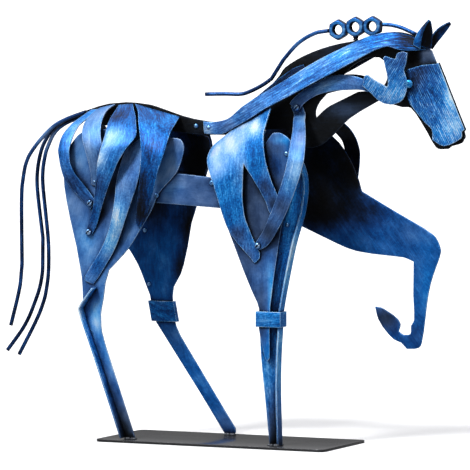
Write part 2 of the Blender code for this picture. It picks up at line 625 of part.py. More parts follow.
RIGHT_SHOULDER_STRIP = [
    (50.5, 251, 60, 251.5, 0), (53, 246, 62.5, 246, 0.02), (57.5, 241, 67, 241.5, 0.45),
    (62, 234, 72.5, 234.5, 0.89), (63.5, 226, 75.5, 226.5, 1.15), (63.5, 215, 76.5, 214.5, 1.32),
    (61.5, 203.5, 74, 202, 1.37), (57, 190.5, 69, 188.5, 1.33), (50.5, 176.5, 61.5, 173, 1.25),
    (42.5, 161, 52, 158, 1.14), (35.5, 152.5, 43.5, 148.5, 1), (33.5, 149, 37.5, 145.5, 1)]
LEFT_SHOULDER_STRIP = [
    (66, 239, 77, 245, 0), (71, 236.5, 82, 242.5, 0.35), (75, 232.5, 87.5, 235.5, 0.75),
    (77.5, 226, 89.3, 227.5, 1.1), (78.3, 217, 90.5, 217, 1.3), (77.5, 206, 89.3, 206, 1.36),
    (75.5, 195, 87.5, 193, 1.34), (70.5, 183.5, 82, 179.5, 1.26), (64, 172.5, 74, 167.5, 1.15),
    (59, 165.5, 66, 160.5, 1.1)]


def build_shoulders():
    edges = outline([BLADE_LEFT_EDGE, BLADE_INNER_EDGE, BLADE_SHORT_PRONG, BLADE_RIGHT_EDGE, BLADE_TOP])
    start_x, start_z = BLADE_TOP_START
    cuts = [((start_x, start_z - below), (-BLADE_TOP_SLOPE, 1)) for below in BLADE_CUTS]
    for word, side, move in (("right", RIGHT, None), ("left", LEFT, swing)):
        name = f"{word}_shoulder_blade"
        plate(name, side, [edges], blade_depth, STRIP_SHEET, paint(name, BLUE), cuts, move)
    strip("left_shoulder_strip", LEFT, body_rows(LEFT_SHOULDER_STRIP, 2), paint("left shoulder strip", BLUE))
    rows = body_rows(RIGHT_SHOULDER_STRIP, 2)
    sheet = strip("right_shoulder_strip", RIGHT, rows, paint("right shoulder strip", BLUE))
    place = at_end(rows, *END_SCREW)
    screw("right_chest_screw", RIGHT, place, sheet, paint("chest screw", SILVER, 0.25, 1.0))


NECK_STRIP = [
    (-21.5, 238.5, 0, -20.5, 229.5, 0.3), (-11.5, 238.5, 0.8, -5, 229.5, 4), (1, 241.5, 3, 11.5, 236.5, 9.5),
    (11.5, 249, 6, 22, 241.5, 13.4), (25, 257.5, 7.5, 36, 249.5, 15.4), (38.5, 264.5, 7.5, 51, 257, 15.4),
    (53, 273, 7.5, 67.5, 265.5, 15), (67.5, 281.5, 7.5, 82, 273, 14.4), (83.5, 290, 7, 96, 280, 13.4),
    (101, 298, 6.4, 111, 288, 12.4), (115.5, 304, 5.5, 124, 294.5, 11.4), (128.5, 307, 4.5, 133, 297, 10.4),
    (137.5, 307, 3.2, 140, 295, 8.6), (147, 305, 1.6, 148.5, 294, 6), (156, 301.5, 0, 160, 295, 2)]
WITHERS_STRIP = [
    (5.5, 245.5, 0, 12, 242, 0), (17, 253.5, 0, 23.5, 249, 0), (24.5, 259.5, 0, 31, 254.5, 0),
    (33.5, 266.5, 0, 40, 258.5, 0), (44, 274, 0, 49.5, 266.5, 0), (53.5, 280, 0, 60, 271.5, 0),
    (60.5, 282.5, 0, 65, 277, 0)]
THROAT_STRIP = [
    (50.5, 253, 2.2, 58, 247.5, 2.6), (53.5, 257, 2.8, 62, 253, 3.4), (63.5, 264, 4.6, 73, 259.5, 5.5),
    (75, 270, 6, 84.5, 263, 7), (86, 274.5, 6.5, 94.5, 264, 7.5), (97.5, 275.5, 6.3, 103.5, 264.5, 7.2),
    (107.5, 274, 6, 110.5, 264.5, 6.6), (114.5, 271.5, 5.6, 116, 263, 6)]
NECK_CROWN = 0.5
# The throat screw's place along and across the lower end of its strip
THROAT_SCREW = (0.25, 0.72)


def build_neck():
    for side, word in ((RIGHT, "right"), (LEFT, "left")):
        neck, withers, throat = (neck_rows(rows) for rows in (NECK_STRIP, WITHERS_STRIP, THROAT_STRIP))
        strip(f"{word}_neck_strip", side, neck, paint(f"{word} neck", BLUE), NECK_CROWN)
        strip(f"{word}_withers_strip", side, withers, paint(f"{word} withers", BLUE), 0)
        sheet = strip(f"{word}_throat_strip", side, throat, paint(f"{word} throat", BLUE), NECK_CROWN)
        place = at_end(throat[::-1], *THROAT_SCREW)
        screw(f"{word}_throat_screw", side, place, sheet, paint(f"{word} throat screw", SILVER, 0.25, 1.0))


CHEEK_TONGUE = [(115, 276), (122, 272.5), (129.5, 269)]
LEFT_CHEEK_TONGUE = [(117, 268.3), (124, 266.3), (129.5, 266.3)]
CHEEK_NOTCH = [(133, 267.5), (134, 270.5), (132, 280), (129.5, 288.5)]
CHEEK_PRONG = [(131, 290), (139.5, 288), (140.5, 291.5), (145, 293.5), (149.5, 292.5)]
CHEEK_FRONT = [(148.5, 284.5), (147, 279.5), (149.2, 274), (149.8, 268.5), (148.5, 262.5), (145, 257.5),
               (138, 254.5), (130.5, 255), (124.5, 258), (119.5, 262.5), (112.5, 267.5)]
FACE_TOP = [(147.5, 279), (155, 282.5), (161.5, 284), (168, 284.5)]
FACE_FRONT = [(169, 285.5), (190, 236.5)]
FACE_MUZZLE = [(188.5, 235), (188.5, 230), (177.5, 224.5), (168.5, 229)]
FACE_REAR = [(168, 236.5), (162.5, 241.5), (151.5, 254), (149, 259), (146.5, 269)]
CHEEK_RIVET = (151.5, 270)


# Rear end of the cheek, the level where it domes most, and how far above and below the dome reaches
CHEEK_REAR, CHEEK_MIDDLE, CHEEK_REACH = 113.0, 272.0, 20.0
CHEEK_CUTS = (CHEEK_MIDDLE - 12, CHEEK_MIDDLE + 12, 3)


def cheek_depth(x, z, height):
    dome = CHEEK_DOME * max(0.0, 1 - ((z - CHEEK_MIDDLE) / CHEEK_REACH) ** 2)
    return CHEEK_DEPTH + CHEEK_SLOPE * (x - CHEEK_REAR) + dome


def behind_nose_line(x, z):
    """Distance of a drawn point behind the straight front edge of the face."""
    (top_x, top_z), (low_x, low_z) = FACE_FRONT
    along = Vector((low_x - top_x, low_z - top_z)).normalized()
    return along.y * (x - top_x) - along.x * (z - top_z)


def face_depth(x, z, height):
    share = min(max(behind_nose_line(x, z), 0.0) / FACE_SWELL_RUN, 1.0)
    return CORE_FACE + FACE_SWELL * math.sin(math.pi / 2 * share)


def face_cuts():
    """Cuts side by side behind the nose line, where the face plate bends."""
    (top_x, top_z), (low_x, low_z) = FACE_FRONT
    along = Vector((low_x - top_x, low_z - top_z)).normalized()
    across = Vector((along.y, -along.x))
    steps = [FACE_SWELL_RUN * step / FACE_BENDS for step in range(1, FACE_BENDS + 1)]
    return [((top_x + across.x * d, top_z + across.y * d), tuple(across)) for d in steps]


def build_head():
    face = outline([FACE_TOP, FACE_FRONT[:1], FACE_FRONT[1:], FACE_MUZZLE, FACE_REAR])
    shank, head = RIVET_SHANK / 2, RIVET_HEAD / 2
    seat = face_depth(*CHEEK_RIVET, 0) + STRIP_SHEET / 2 + GAP
    under = cheek_depth(*CHEEK_RIVET, 0) + STRIP_SHEET / 2 + GAP
    rim = under + RIM_SHARE * RIVET_HEAD_HEIGHT
    profile = [(shank, seat), (shank, under), (head, under), (head, rim),
               (FLAT_SHARE * head, under + RIVET_HEAD_HEIGHT)]
    for side, word, tongue in ((RIGHT, "right", CHEEK_TONGUE), (LEFT, "left", LEFT_CHEEK_TONGUE)):
        cheek = outline([tongue, CHEEK_NOTCH, CHEEK_PRONG, CHEEK_FRONT])
        blue = paint(f"{word} head blue", BLUE)
        plate(f"{word}_cheek_plate", side, [cheek], cheek_depth, STRIP_SHEET, blue, levels(*CHEEK_CUTS))
        plate(f"{word}_face_plate", side, [face], face_depth, STRIP_SHEET, blue, face_cuts())
        turned(f"{word}_cheek_rivet", side, CHEEK_RIVET, profile, blue)


RIGHT_EAR = [
    [(158.5, 10.5, 295.8), (159.5, 11.5, 301.5), (161, 11.5, 308), (163.3, 11, 313.3), (165.2, 10.2, 316)],
    [(152.3, 7.2, 298.3), (153, 7.2, 302.3), (156.5, 7.4, 308.5), (161.2, 8, 313.8), (164.5, 8.3, 317)],
    [(164, 3.2, 295.3), (165, 3.2, 302), (165.8, 4.2, 308.2), (165.6, 5.4, 312.8), (165.3, 6.4, 316)]]
LEFT_EAR = [
    [(158.5, 12.5, 294.5), (162.3, 13.8, 300), (166.8, 14.4, 305.5), (171.2, 13.5, 310.5), (173.5, 12.6, 313.4)],
    [(156.5, 10.5, 297), (158, 10.5, 302.5), (162, 10.8, 307.8), (168, 11.2, 312.2), (172.8, 11.5, 315)],
    [(160.5, 5, 296.5), (161, 5.5, 304), (165, 7, 309.8), (170, 9, 313.4), (173.2, 10.4, 314.9)]]


def build_ears():
    for word, side, lines in (("right", RIGHT, RIGHT_EAR), ("left", LEFT, LEFT_EAR)):
        bend(f"{word}_ear", side, lines, EAR_SHEET, paint(f"{word} ear", BLUE), OUTLINE_TOLERANCE)


MANE_REAR = [(-20.5, 259), (-4.5, 259.5), (10, 259.8), (22.5, 264.5), (33, 271), (37.5, 276.5), (42, 283.5),
             (52, 295), (60.5, 301.5), (70, 306)]
MANE_FRONT = [(131.5, 312.5), (141, 310), (151, 305.8)]
# The middle nut's centre, and how far the rear nut is below it and the front nut above it
MIDDLE_NUT = (102.3, 310.8)
REAR_NUT_DROP = 2.2
FRONT_NUT_RISE = 0.6
TAIL_A = [(-119.8, -1.75, 244), (-133, -2.5, 239.5), (-146, -3, 233), (-159, -4, 220.5), (-168, -4.5, 207.5),
          (-171.5, -5, 194), (-173, -5, 178), (-173, -5, 150), (-173, -5, 125.5), (-175, -5, 108.5),
          (-182.5, -5, 80)]
TAIL_B = [(-119.8, 1.75, 244), (-138.5, 2.5, 237), (-151, 3, 229), (-158, 3.5, 219.5), (-162.5, 4, 207),
          (-164.5, 4.5, 194), (-164, 5, 178), (-160.5, 5, 151), (-160, 5, 131), (-161.5, 5, 114),
          (-167.5, 5, 96), (-176, 5, 79), (-190.5, 5, 60)]
TAIL_C = [(-119.8, 0, 240.9), (-135, 0, 236.3), (-145.5, 0, 229.5), (-152, 0, 219.5), (-156, 0, 207.5),
          (-157.5, 0, 194.5), (-156.5, 0, 178.5), (-153, 0, 147.5), (-152.5, 0, 129), (-153.5, 0, 114.5),
          (-156.5, 0, 100), (-164, 0, 82.5), (-178, 0, 57.5)]


def hexagon_and_hole(centre):
    """Twelve points round a nut, two flats upright, and twelve round its hole."""
    outer, inner = [], []
    middle = lift(centre[0], 0, centre[1])
    for i in range(12):
        angle = math.pi / 6 * i
        reach = NUT_ACROSS_FLATS / 2 if i % 2 == 0 else NUT_ACROSS_FLATS / math.sqrt(3)
        for loop, radius in ((outer, reach), (inner, NUT_HOLE / 2)):
            loop.append((middle.x + radius * math.cos(angle) * MM, middle.z + radius * math.sin(angle) * MM))
    return outer, inner


def top_of_core(x):
    """Height of the core plate's top edge at a drawn place on it."""
    edge = smooth(CORE_TOP, OUTLINE_TOLERANCE)
    for low, high in zip(edge, edge[1:]):
        if low.x <= x <= high.x:
            return low.y + (high.y - low.y) * (x - low.x) / (high.x - low.x)
    raise ValueError(f"the core's top edge doesn't reach {x}")


def build_mane_and_tail():
    """The rods end at the nuts, which stand side by side, flat to flat."""
    steel = paint("mane steel blue", (0.12, 0.22, 0.40), 0.3, 0.9)
    x, z = MIDDLE_NUT
    step = (NUT_ACROSS_FLATS + GAP) / SCALE
    centres = [(x - step, z - REAR_NUT_DROP), MIDDLE_NUT, (x + step, z + FRONT_NUT_RISE)]
    reach = (NUT_ACROSS_FLATS / 2 + 3 * GAP) / SCALE
    rear_end = (centres[0][0] - reach, centres[0][1] - ROD_DIAMETER / 4)
    front_start = (centres[2][0] + reach, centres[2][1] + ROD_DIAMETER / 2)
    rod("mane_rod_rear", [(x, 0, z) for x, z in [*MANE_REAR, rear_end]], steel)
    rod("mane_rod_front", [(x, 0, z) for x, z in [front_start, *MANE_FRONT]], steel)
    place = lambda x, z, depth: Vector((x, depth, z))
    half = NUT_THICKNESS / 2 * MM
    for index, centre in enumerate(centres, 1):
        outer, inner = hexagon_and_hole(centre)
        ring(f"mane_nut_{index}", outer, inner, -half, half, place, paint(f"nut {index}", (0.10, 0.12, 0.38)))
    foot = max(top_of_core(x - ROD_DIAMETER / 2), top_of_core(x + ROD_DIAMETER / 2)) + GAP / SCALE
    nut_low = z - (NUT_ACROSS_FLATS / math.sqrt(3) + GAP) / SCALE
    rod("mane_post", [(x, 0, foot), (x, 0, nut_low)], steel)
    dark = paint("tail blue black", (0.01, 0.02, 0.06), 0.3, 0.8)
    for index, route in enumerate((TAIL_A, TAIL_B, TAIL_C), 1):
        rod(f"tail_rod_{index}", route, dark)


def main():
    for old in list(bpy.data.objects):
        bpy.data.objects.remove(old, do_unlink=True)
    build_base()
    build_core()
    build_hind_legs()
    build_hips()
    build_belly()
    build_fore_legs()
    build_cuffs()
    build_shoulders()
    build_neck()
    build_head()
    build_ears()
    build_mane_and_tail()


main()
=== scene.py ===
"""Looks of the sheet-metal horse: refined copies of its pieces, blue patina, light and camera.

Each piece of the frame is copied, smoothed and given attributes that the patina reads: "flow" runs
along the piece in millimetres, for the brush strokes, "tone" says how light or dark the colour is
there, partly the patina's own and partly painted highlights and painted shade, and "dull" how grey
it is. Places in millimetres are x towards the head and z above the soles.
"""

import math

import bmesh
import bpy
import numpy as np
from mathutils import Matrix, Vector, noise
from mathutils.bvhtree import BVHTree


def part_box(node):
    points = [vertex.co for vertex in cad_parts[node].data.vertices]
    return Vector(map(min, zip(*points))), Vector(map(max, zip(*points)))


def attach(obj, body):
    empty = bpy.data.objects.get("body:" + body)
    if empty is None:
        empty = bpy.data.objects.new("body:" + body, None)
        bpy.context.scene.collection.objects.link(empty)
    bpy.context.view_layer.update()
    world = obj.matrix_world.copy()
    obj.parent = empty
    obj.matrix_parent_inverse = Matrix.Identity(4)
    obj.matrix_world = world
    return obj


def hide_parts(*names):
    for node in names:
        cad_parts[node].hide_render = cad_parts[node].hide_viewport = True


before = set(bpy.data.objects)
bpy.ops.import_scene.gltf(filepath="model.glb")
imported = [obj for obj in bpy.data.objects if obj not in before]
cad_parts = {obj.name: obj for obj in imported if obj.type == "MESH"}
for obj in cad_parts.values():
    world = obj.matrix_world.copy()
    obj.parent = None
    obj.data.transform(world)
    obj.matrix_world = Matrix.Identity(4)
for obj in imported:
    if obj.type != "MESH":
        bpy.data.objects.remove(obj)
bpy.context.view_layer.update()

MM = 0.001
# The soles' height above the floor, in millimetres
SOLE = 2.3
# The sides' signs along Y
RIGHT, LEFT = -1, 1

# Camera: a long lens, fitted to the base plate's corners, and how far it sees
CAMERA_AZIMUTH = math.radians(24.8)
CAMERA_ELEVATION = math.radians(3.72)
CAMERA_DISTANCE = 4.125
CAMERA_TARGET = Vector((0.00313, 0.00145, 0.156))
LENS = 421.3
SENSOR_WIDTH = 36.0
VIEW_REACH = 200.0

# The studio's light: its brightness by the sine of its height, its share of blue, and a soft sun
SKY = [(0.0, 0.16), (0.25, 0.22), (0.5, 0.75), (0.75, 1.2), (1.0, 1.3)]
SKY_BLUE = 1.02
SUN_FROM = (-0.45, -1.0, 1.25)
SUN_STRENGTH = 2.8
SUN_ANGLE = math.radians(14)

# The floor is pale to the camera, and darker to the light that it throws back on the horse
FLOOR_REACH = 60.0
FLOOR_BOUNCE = (0.22, 0.22, 0.22, 1.0)

# Patina from the darkest to the lightest tone, once where it is saturated and once where it is dull
COBALT = [
    (0.00, (0.0003, 0.0006, 0.0015)), (0.15, (0.0008, 0.003, 0.009)), (0.28, (0.001, 0.014, 0.060)),
    (0.42, (0.001, 0.050, 0.23)), (0.56, (0.002, 0.135, 0.50)), (0.70, (0.018, 0.30, 0.80)),
    (0.84, (0.18, 0.57, 0.97)), (1.00, (0.72, 0.89, 1.0)),
]
SLATE = [
    (0.00, (0.0006, 0.0008, 0.0012)), (0.15, (0.002, 0.0035, 0.006)), (0.28, (0.010, 0.019, 0.038)),
    (0.42, (0.036, 0.066, 0.135)), (0.56, (0.094, 0.160, 0.315)), (0.70, (0.21, 0.32, 0.56)),
    (0.84, (0.42, 0.56, 0.80)), (1.00, (0.78, 0.86, 0.96)),
]
# Colour that a few cloudy places are multiplied with, half way
VIOLET = (0.16, 0.10, 0.34, 1.0)

# The patina's marks: how many there are in a millimetre along a piece, across it and through it
LONG_STROKES = (0.035, 0.45, 0.3)
FINE_STROKES = (0.16, 2.2, 1.2)
STIPPLE = (0.75, 0.75, 0.75)
CLOUDS = (0.07, 0.09, 0.09)
# How much of the brush marks is left where the finish is dull
SMOOTH_SHARE = 0.3
# How near a cut edge the patina is painted lighter, as wear and as a painted highlight, and how near
# another piece painted shade darkens it, in metres
EDGE_WEAR_AND_HIGHLIGHT_REACH = 0.0011
RECESS_REACH = 0.009

# Each piece's tone and dullness, and the patches on it where they change: x, z, reach along x,
# reach along z, change of tone, change of dullness. The patches are partly the patina's own lighter and
# darker places and partly painted highlights and painted shadows, such as the dark places on the hind
# leg beside the hip strips and the darker raised and far legs near the body, where shade falls
TONES = {
    "hip_strip_1": (0.57, 0.25, [(-110, 243, 7, 4, 0.13, -0.1), (-121, 234, 4, 9, 0.1, 0),
        (-130, 212, 5, 12, -0.02, -0.1), (-120, 189, 10, 10, -0.2, 0.1),
        (-110, 177, 7, 6, -0.16, 0.1)]),
    "hip_strip_2": (0.64, 0.55, [(-97, 240, 7, 6, 0.04, 0), (-102, 227, 6, 10, 0.06, 0.1),
        (-105, 205, 7, 10, 0, 0.25), (-107, 192, 7, 6, -0.03, 0.3)]),
    "hip_strip_3": (0.54, 0.15, [(-75, 250, 10, 5, -0.13, -0.1), (-86, 242, 7, 4, -0.24, 0),
        (-84, 226, 10, 9, 0.24, 0.55), (-92, 211, 7, 8, 0.34, 0.4), (-97, 192, 8, 9, -0.21, 0.3),
        (-102, 175, 7, 9, -0.1, -0.1), (-106, 159, 7, 8, -0.15, 0.2)]),
    "hip_strip_4": (0.6, 0.45, [(-70, 211, 8, 14, -0.05, 0.2), (-74, 193, 7, 9, 0.04, 0.1),
        (-78, 168, 7, 12, 0.31, -0.2), (-85, 148, 7, 9, 0.24, -0.3), (-96, 131, 7, 8, -0.1, -0.3)]),
    "hip_strip_5": (0.5, 0.05, [(-47, 240, 5, 6, 0.09, -0.1), (-57, 234, 7, 9, 0.04, -0.1),
        (-49, 216, 6, 8, -0.12, 0), (-62, 212, 5, 10, 0.15, 0.2), (-57, 195, 7, 10, -0.29, 0.2),
        (-61, 174, 8, 12, -0.39, 0.3)]),
    # hind leg: its strongly darkened patches beside the hip strips are painted shadows of those strips
    "hind_leg": (0.59, 0.55, [(-36, 226, 10, 10, 0.03, 0.2), (-38, 203, 8, 9, 0.05, 0.1),
        (-80, 214, 7, 9, -0.5, 0.2), (-88, 192, 6, 12, -0.45, 0.2), (-94, 170, 6, 9, -0.25, 0.1),
        (-84, 158, 8, 12, 0.08, 0), (-116, 178, 8, 15, 0.02, 0.1), (-115, 212, 9, 10, 0.13, 0),
        (-107, 150, 8, 12, 0.14, -0.2), (-99, 132, 12, 10, 0.03, -0.1),
        (-94, 104, 7, 18, 0.04, -0.2), (-102, 87, 7, 14, 0.24, -0.3), (-92, 63, 8, 15, 0.11, -0.3),
        (-79, 33, 8, 15, 0, -0.1), (-71, 6, 9, 20, -0.2, 0.7), (-98, 80, 4, 18, 0.12, 0),
        (-86, 45, 4, 18, 0.12, 0)]),
    "hind_tendon": (0.66, 0.1, [(-101, 111, 8, 8, 0.05, 0), (-106, 96, 7, 9, 0.3, 0),
        (-100, 70, 7, 12, 0.06, 0), (-83, 29, 7, 15, -0.12, 0), (-73, 6, 9, 20, -0.26, 0.8)]),
    "belly_strip": (0.52, 0.7, [(-39, 189, 13, 9, 0.12, -0.2)]),
    "neck_strip": (0.53, 0.25, [(-18, 233, 5, 4, 0.3, 0.5), (-1, 236, 12, 6, 0, 0.4),
        (20, 250, 13, 6, 0.04, 0.2), (42, 263, 12, 7, 0, 0.05), (63, 274, 13, 7, 0.07, 0),
        (92, 290, 13, 7, 0.1, 0), (123, 304, 15, 7, -0.07, -0.3), (144, 303, 7, 7, -0.34, -0.3),
        (157, 301, 8, 6, -0.35, -0.1)]),
    "withers_strip": (0.3, 0.3, []),
    "throat_strip": (0.54, 0.5, [(61, 253, 7, 8, 0.03, 0.2), (82, 267, 12, 7, 0.2, 0),
        (104, 275, 10, 6, 0.02, -0.1), (117, 271, 7, 4, 0.14, -0.3)]),
    "cheek_plate": (0.53, 0.2, [(137, 288, 8, 7, -0.1, 0.1), (147, 290, 5, 8, -0.12, 0.2),
        (123, 270, 8, 5, 0.13, 0), (141, 263, 12, 8, 0.2, 0)]),
    "face_plate": (0.5, 0.15, [(156, 275, 6, 8, -0.19, 0.3), (164, 280, 8, 4, -0.1, 0.1),
        (177, 277, 4, 8, 0.4, -0.1), (164, 263, 7, 6, -0.06, 0), (171, 251, 7, 8, 0.04, 0),
        (184, 240, 7, 10, 0.3, 0.1), (174, 235, 7, 6, 0.12, 0), (180, 261, 4, 9, 0.5, 0)]),
    "cheek_rivet": (0.7, 0.1, []),
    "ear": (0.42, 0.05, [(153, 299, 4, 5, 0.13, 0), (157.5, 307, 3, 8, 0.25, 0),
        (162, 303, 4, 14, -0.42, 0)]),
    "shoulder_blade": (0.6, 0.1, [(16, 239, 7, 6, 0.32, 0.5), (4, 227, 7, 8, 0.2, 0.45),
        (-4, 217, 6, 9, 0.26, 0.5), (-1, 202, 7, 8, 0.15, 0.55), (29, 237, 6, 7, 0.4, 0.6),
        (12, 221, 8, 10, 0.24, 0.6), (24, 208, 7, 8, 0.06, 0.35), (20, 229, 6, 6, 0.12, 0.3),
        (6, 209, 7, 7, 0.12, 0.4), (4, 185, 7, 8, 0.01, -0.3), (12, 170, 7, 8, -0.06, -0.2),
        (19, 156, 7, 7, -0.18, 0.5), (27, 140, 7, 7, -0.12, 0.6), (32, 212, 6, 8, -0.06, -0.3),
        (42, 192, 6, 7, -0.18, 0.5), (48, 180, 5, 6, -0.18, 0.7)]),
    "shoulder_cover": (0.46, 0.75, [(53, 228, 9, 4, 0.3, -0.6), (60, 218, 5, 10, 0.12, -0.6),
        (48, 207, 7, 10, -0.04, -0.6), (39, 192, 7, 9, -0.14, 0), (29, 185, 7, 18, -0.03, 0.1),
        (34, 164, 8, 12, -0.02, 0.1), (44, 136, 7, 14, 0.12, -0.3), (35, 124, 7, 10, 0.04, -0.3),
        (46, 117, 3, 15, 0.3, -0.6), (47, 94, 4, 16, 0.26, -0.8), (43, 68, 7, 14, 0.14, -0.7)]),
    "fore_leg": (0.6, 0.05, [(69, 179, 5, 22, -0.05, -0.1), (62, 146, 5, 22, 0.22, -0.2),
        (55, 115, 5, 12, 0.07, 0), (50, 81, 6, 12, 0.17, 0), (48, 55, 7, 16, 0.2, 0.1),
        (48, 32, 7, 14, 0.04, 0.2), (47, 4, 9, 20, -0.16, 0.8), (58, 140, 3, 25, 0.1, -0.1)]),
    "fore_cuff": (0.6, 0.05, []),
    "hind_cuff": (0.52, 0.05, []),
    "shoulder_strip": (0.58, 0.4, [(68, 247, 6, 7, 0.4, 0.4), (72, 229, 5, 9, -0.03, 0.4),
        (68, 220, 4, 9, 0.03, 0), (71, 205, 6, 9, 0.22, 0.1), (71, 216, 6, 9, 0.1, 0.1),
        (65, 193, 5, 7, 0.06, -0.2), (58, 179, 7, 8, -0.16, 0.3), (46, 160, 8, 9, -0.18, 0.5)]),
    "mane_rod_rear": (0.41, 0.35, [(58, 298, 12, 10, 0.12, 0)]),
    "mane_rod_front": (0.52, 0.25, []),
    "mane_nut": (0.44, 0.25, []),
    "mane_post": (0.25, 0.3, []),
    "tail_rod": (0.34, 0.25, [(-148, 222, 16, 14, 0.34, 0.6), (-167, 175, 8, 22, 0.12, 0)]),
    "core_plate": (0.14, 1.1, [(162, 292, 9, 8, 0.58, 0), (156, 293, 4, 5, 0.28, 0),
        (150, 289, 4, 8, -0.3, 0), (94, 250, 17, 8, 0.24, -0.1), (85, 292, 20, 7, 0.12, 0),
        (-21, 235, 13, 6, 0.08, 0)]),
    "base_plate": (0.3, 0.9, []),
    "screw": (0.74, 0.5, []),
    # raised and far legs and far ear: darker near the body as painted shade
    "raised": (0.5, 0.1, [(78, 233, 18, 22, -0.3, 0.2), (58, 214, 12, 16, -0.3, 0.2),
        (66, 188, 25, 20, -0.36, 0.2), (60, 169, 15, 12, -0.34, 0.2), (92, 206, 14, 18, -0.42, 0.2),
        (88, 170, 22, 10, -0.16, 0), (105, 172, 17, 10, -0.08, 0), (136, 158, 13, 10, 0.03, 0.2),
        (148, 149, 8, 9, 0.04, 0), (151, 115, 8, 18, 0.1, -0.1), (140, 81, 12, 9, -0.05, 0.1),
        (115, 93, 10, 9, -0.22, 0.7)]),
    "far_ear": (0.14, 0.2, [(165, 304, 3, 6, 0.4, 0), (170, 310, 3, 4, 0.35, 0)]),
    "far_hind": (0.48, 0.05, [(-33, 238, 17, 18, -0.5, 0.4), (-38, 205, 14, 16, -0.5, 0.4),
        (-78, 173, 15, 16, -0.34, 0.2), (-45, 158, 8, 22, -0.34, 0.2), (-52, 124, 7, 12, -0.3, 0.2),
        (-66, 135, 12, 15, 0.08, 0), (-70, 113, 10, 9, 0.06, 0), (-58, 72, 12, 10, 0.09, 0.3),
        (-37, 42, 10, 12, 0.08, 0.1), (-16, 9, 10, 10, 0.03, 0.5)]),
}
# Pieces with an entry of their own above, because the pose turns them to or from the light
OWN_TONES = {"left_fore_leg": "raised", "left_hind_leg": "far_hind", "left_ear": "far_ear"}
# How much darker legs and other pieces are painted on their faces towards the centre plane, partly as
# dark paint and partly as painted shade
INNER_LEG_TONE = -0.2
INNER_TONE = -0.45

# Small fasteners that the frame leaves out: the piece under each, its x and z, and its radius
SMALL_SCREWS = [
    ("right_hind_leg", -49, 183.5, 1.9), ("right_belly_strip", -4, 194, 2.1),
    ("right_shoulder_cover", 57.5, 217, 1.9), ("right_fore_leg", 57, 164, 1.5),
    ("left_hind_leg", -80.5, 112.5, 1.6), ("left_hind_leg", -83.5, 153.5, 1.6),
    ("right_hip_strip_2", -99.5, 193, 1.1),
    ("right_neck_strip", -16.5, 234.5, 1.7), ("core_plate", -28, 235, 1.8),
]
# Pieces whose small fasteners face the horse's right side
RIGHT_FACING = ("left_hind_leg", "core_plate")
# Outlines of turned heads, from foot to crown: small ones as shares of their radius, screws as shares
# of their radius and of their height
SMALL_HEAD = [(1.0, -0.1), (1.0, 0.12), (0.93, 0.32), (0.74, 0.5), (0.45, 0.62), (0.16, 0.66)]
SMALL_HEAD_SIDES = 20
SCREW_HEAD = [(0.97, 0.0), (1.0, 0.12), (1.0, 0.42), (0.96, 0.62), (0.86, 0.8), (0.68, 0.93), (0.42, 1.0),
              (0.2, 1.0), (0.06, 1.0)]
SCREW_SIDES = 32
# A screw's slot: half its width as a share of the radius, then its depth and the level where the crown
# begins as shares of the height
SLOT_WIDTH = 0.2
SLOT_DEPTH = 0.35
CROWN_START = 0.75

# A nut: the points on a ring, its hole and its crown as shares of half its width across flats, the level
# of its faces as a share of half its thickness, the slope of its chamfer, the width of the chamfer at its
# hole, and the ridges of its thread: how far apart they are as a share of the hole's length, and how deep
# in metres
NUT_SIDES = 60
NUT_HOLE = 0.545
NUT_CROWN = 0.9
NUT_FACE_LEVEL = 0.9
NUT_CHAMFER = math.tan(math.radians(38))
NUT_MOUTH = 0.0007
THREAD_STEP = 0.09
THREAD_DEPTH = 0.0004
# Changes of tone: up to this far from a nut's hole, on its faces, on its sides, in a screw's slot and at
# its foot. Painted shade darkens the hole, the slot and the foot, and a painted highlight lightens the
# nut's faces
HOLE_REACH = 0.0005
HOLE_SHADE = -0.2
NUT_FACE_HIGHLIGHT = 0.2
NUT_SIDE_TONE = -0.08
SLOT_SHADE = -0.45
SCREW_FOOT_SHADE = -0.25

# The mane's post, as shares of its radius, the level that each ring is set from, and its rise in metres
POST_PROFILE = [(0.5, "low", -0.0006), (1.5, "low", -0.0003), (1.25, "low", 0.0004), (1.0, "middle", 0.0),
                (1.15, "high", -0.0002), (1.45, "high", 0.0008), (1.2, "high", 0.0013), (0.4, "high", 0.0014)]
POST_SIDES = 24

# Weld beads on both sides of each sole, at shares of its length: half length, half width and height
WELD_PLACES = (0.12, 0.3, 0.7, 0.88)
WELD_SIZE = Vector((0.0017, 0.0012, 0.0013))
# How far a bead reaches below its centre, as a share of its height
WELD_FOOT = 0.25
FOOT_PIECES = ("right_hind_leg", "left_hind_leg", "right_fore_leg")
# Up to this far above its lowest point a leg counts as its sole, in metres
SOLE_DEPTH = 0.0015

# Smoothing of bent pieces, and how often their points are moved so that the surface passes through them
REFINE_LEVELS = 2
FIT_PASSES = 2
# Points nearer to each other than this are merged, and those nearer to a cut aren't cut off, in metres
MERGE_REACH = 2e-6
CUT_REACH = 1e-6
# Flat pieces get a grid of points in place of smoothing, so that their patches can fade: its spacing is
# in millimetres
FLAT_PIECES = ("hind_leg", "core_plate", "shoulder_cover", "left_fore_leg", "belly_strip", "base_plate")
FLAT_GRID = 4.0
# Pieces whose patina shows few brush marks
PLAIN_PIECES = ("hind_leg", "shoulder_cover", "left_fore_leg", "belly_strip")
# Pieces whose facets become one smooth surface, the spacing of their grid and the reach of that blur in
# millimetres, and how far a face is turned to a side to count
DOMED_PIECES = ("face_plate", "cheek_plate", "shoulder_blade")
DOMED_GRID = 2.5
DOME_BLUR = 5.0
DOME_REACH = 2.5 * DOME_BLUR
DOME_FACING = 0.4
# The rounding of a sheet's cut edges in millimetres, and the angle above which an edge is a cut one
RIM_BEVEL = 0.18
RIM_ANGLE = math.radians(50)
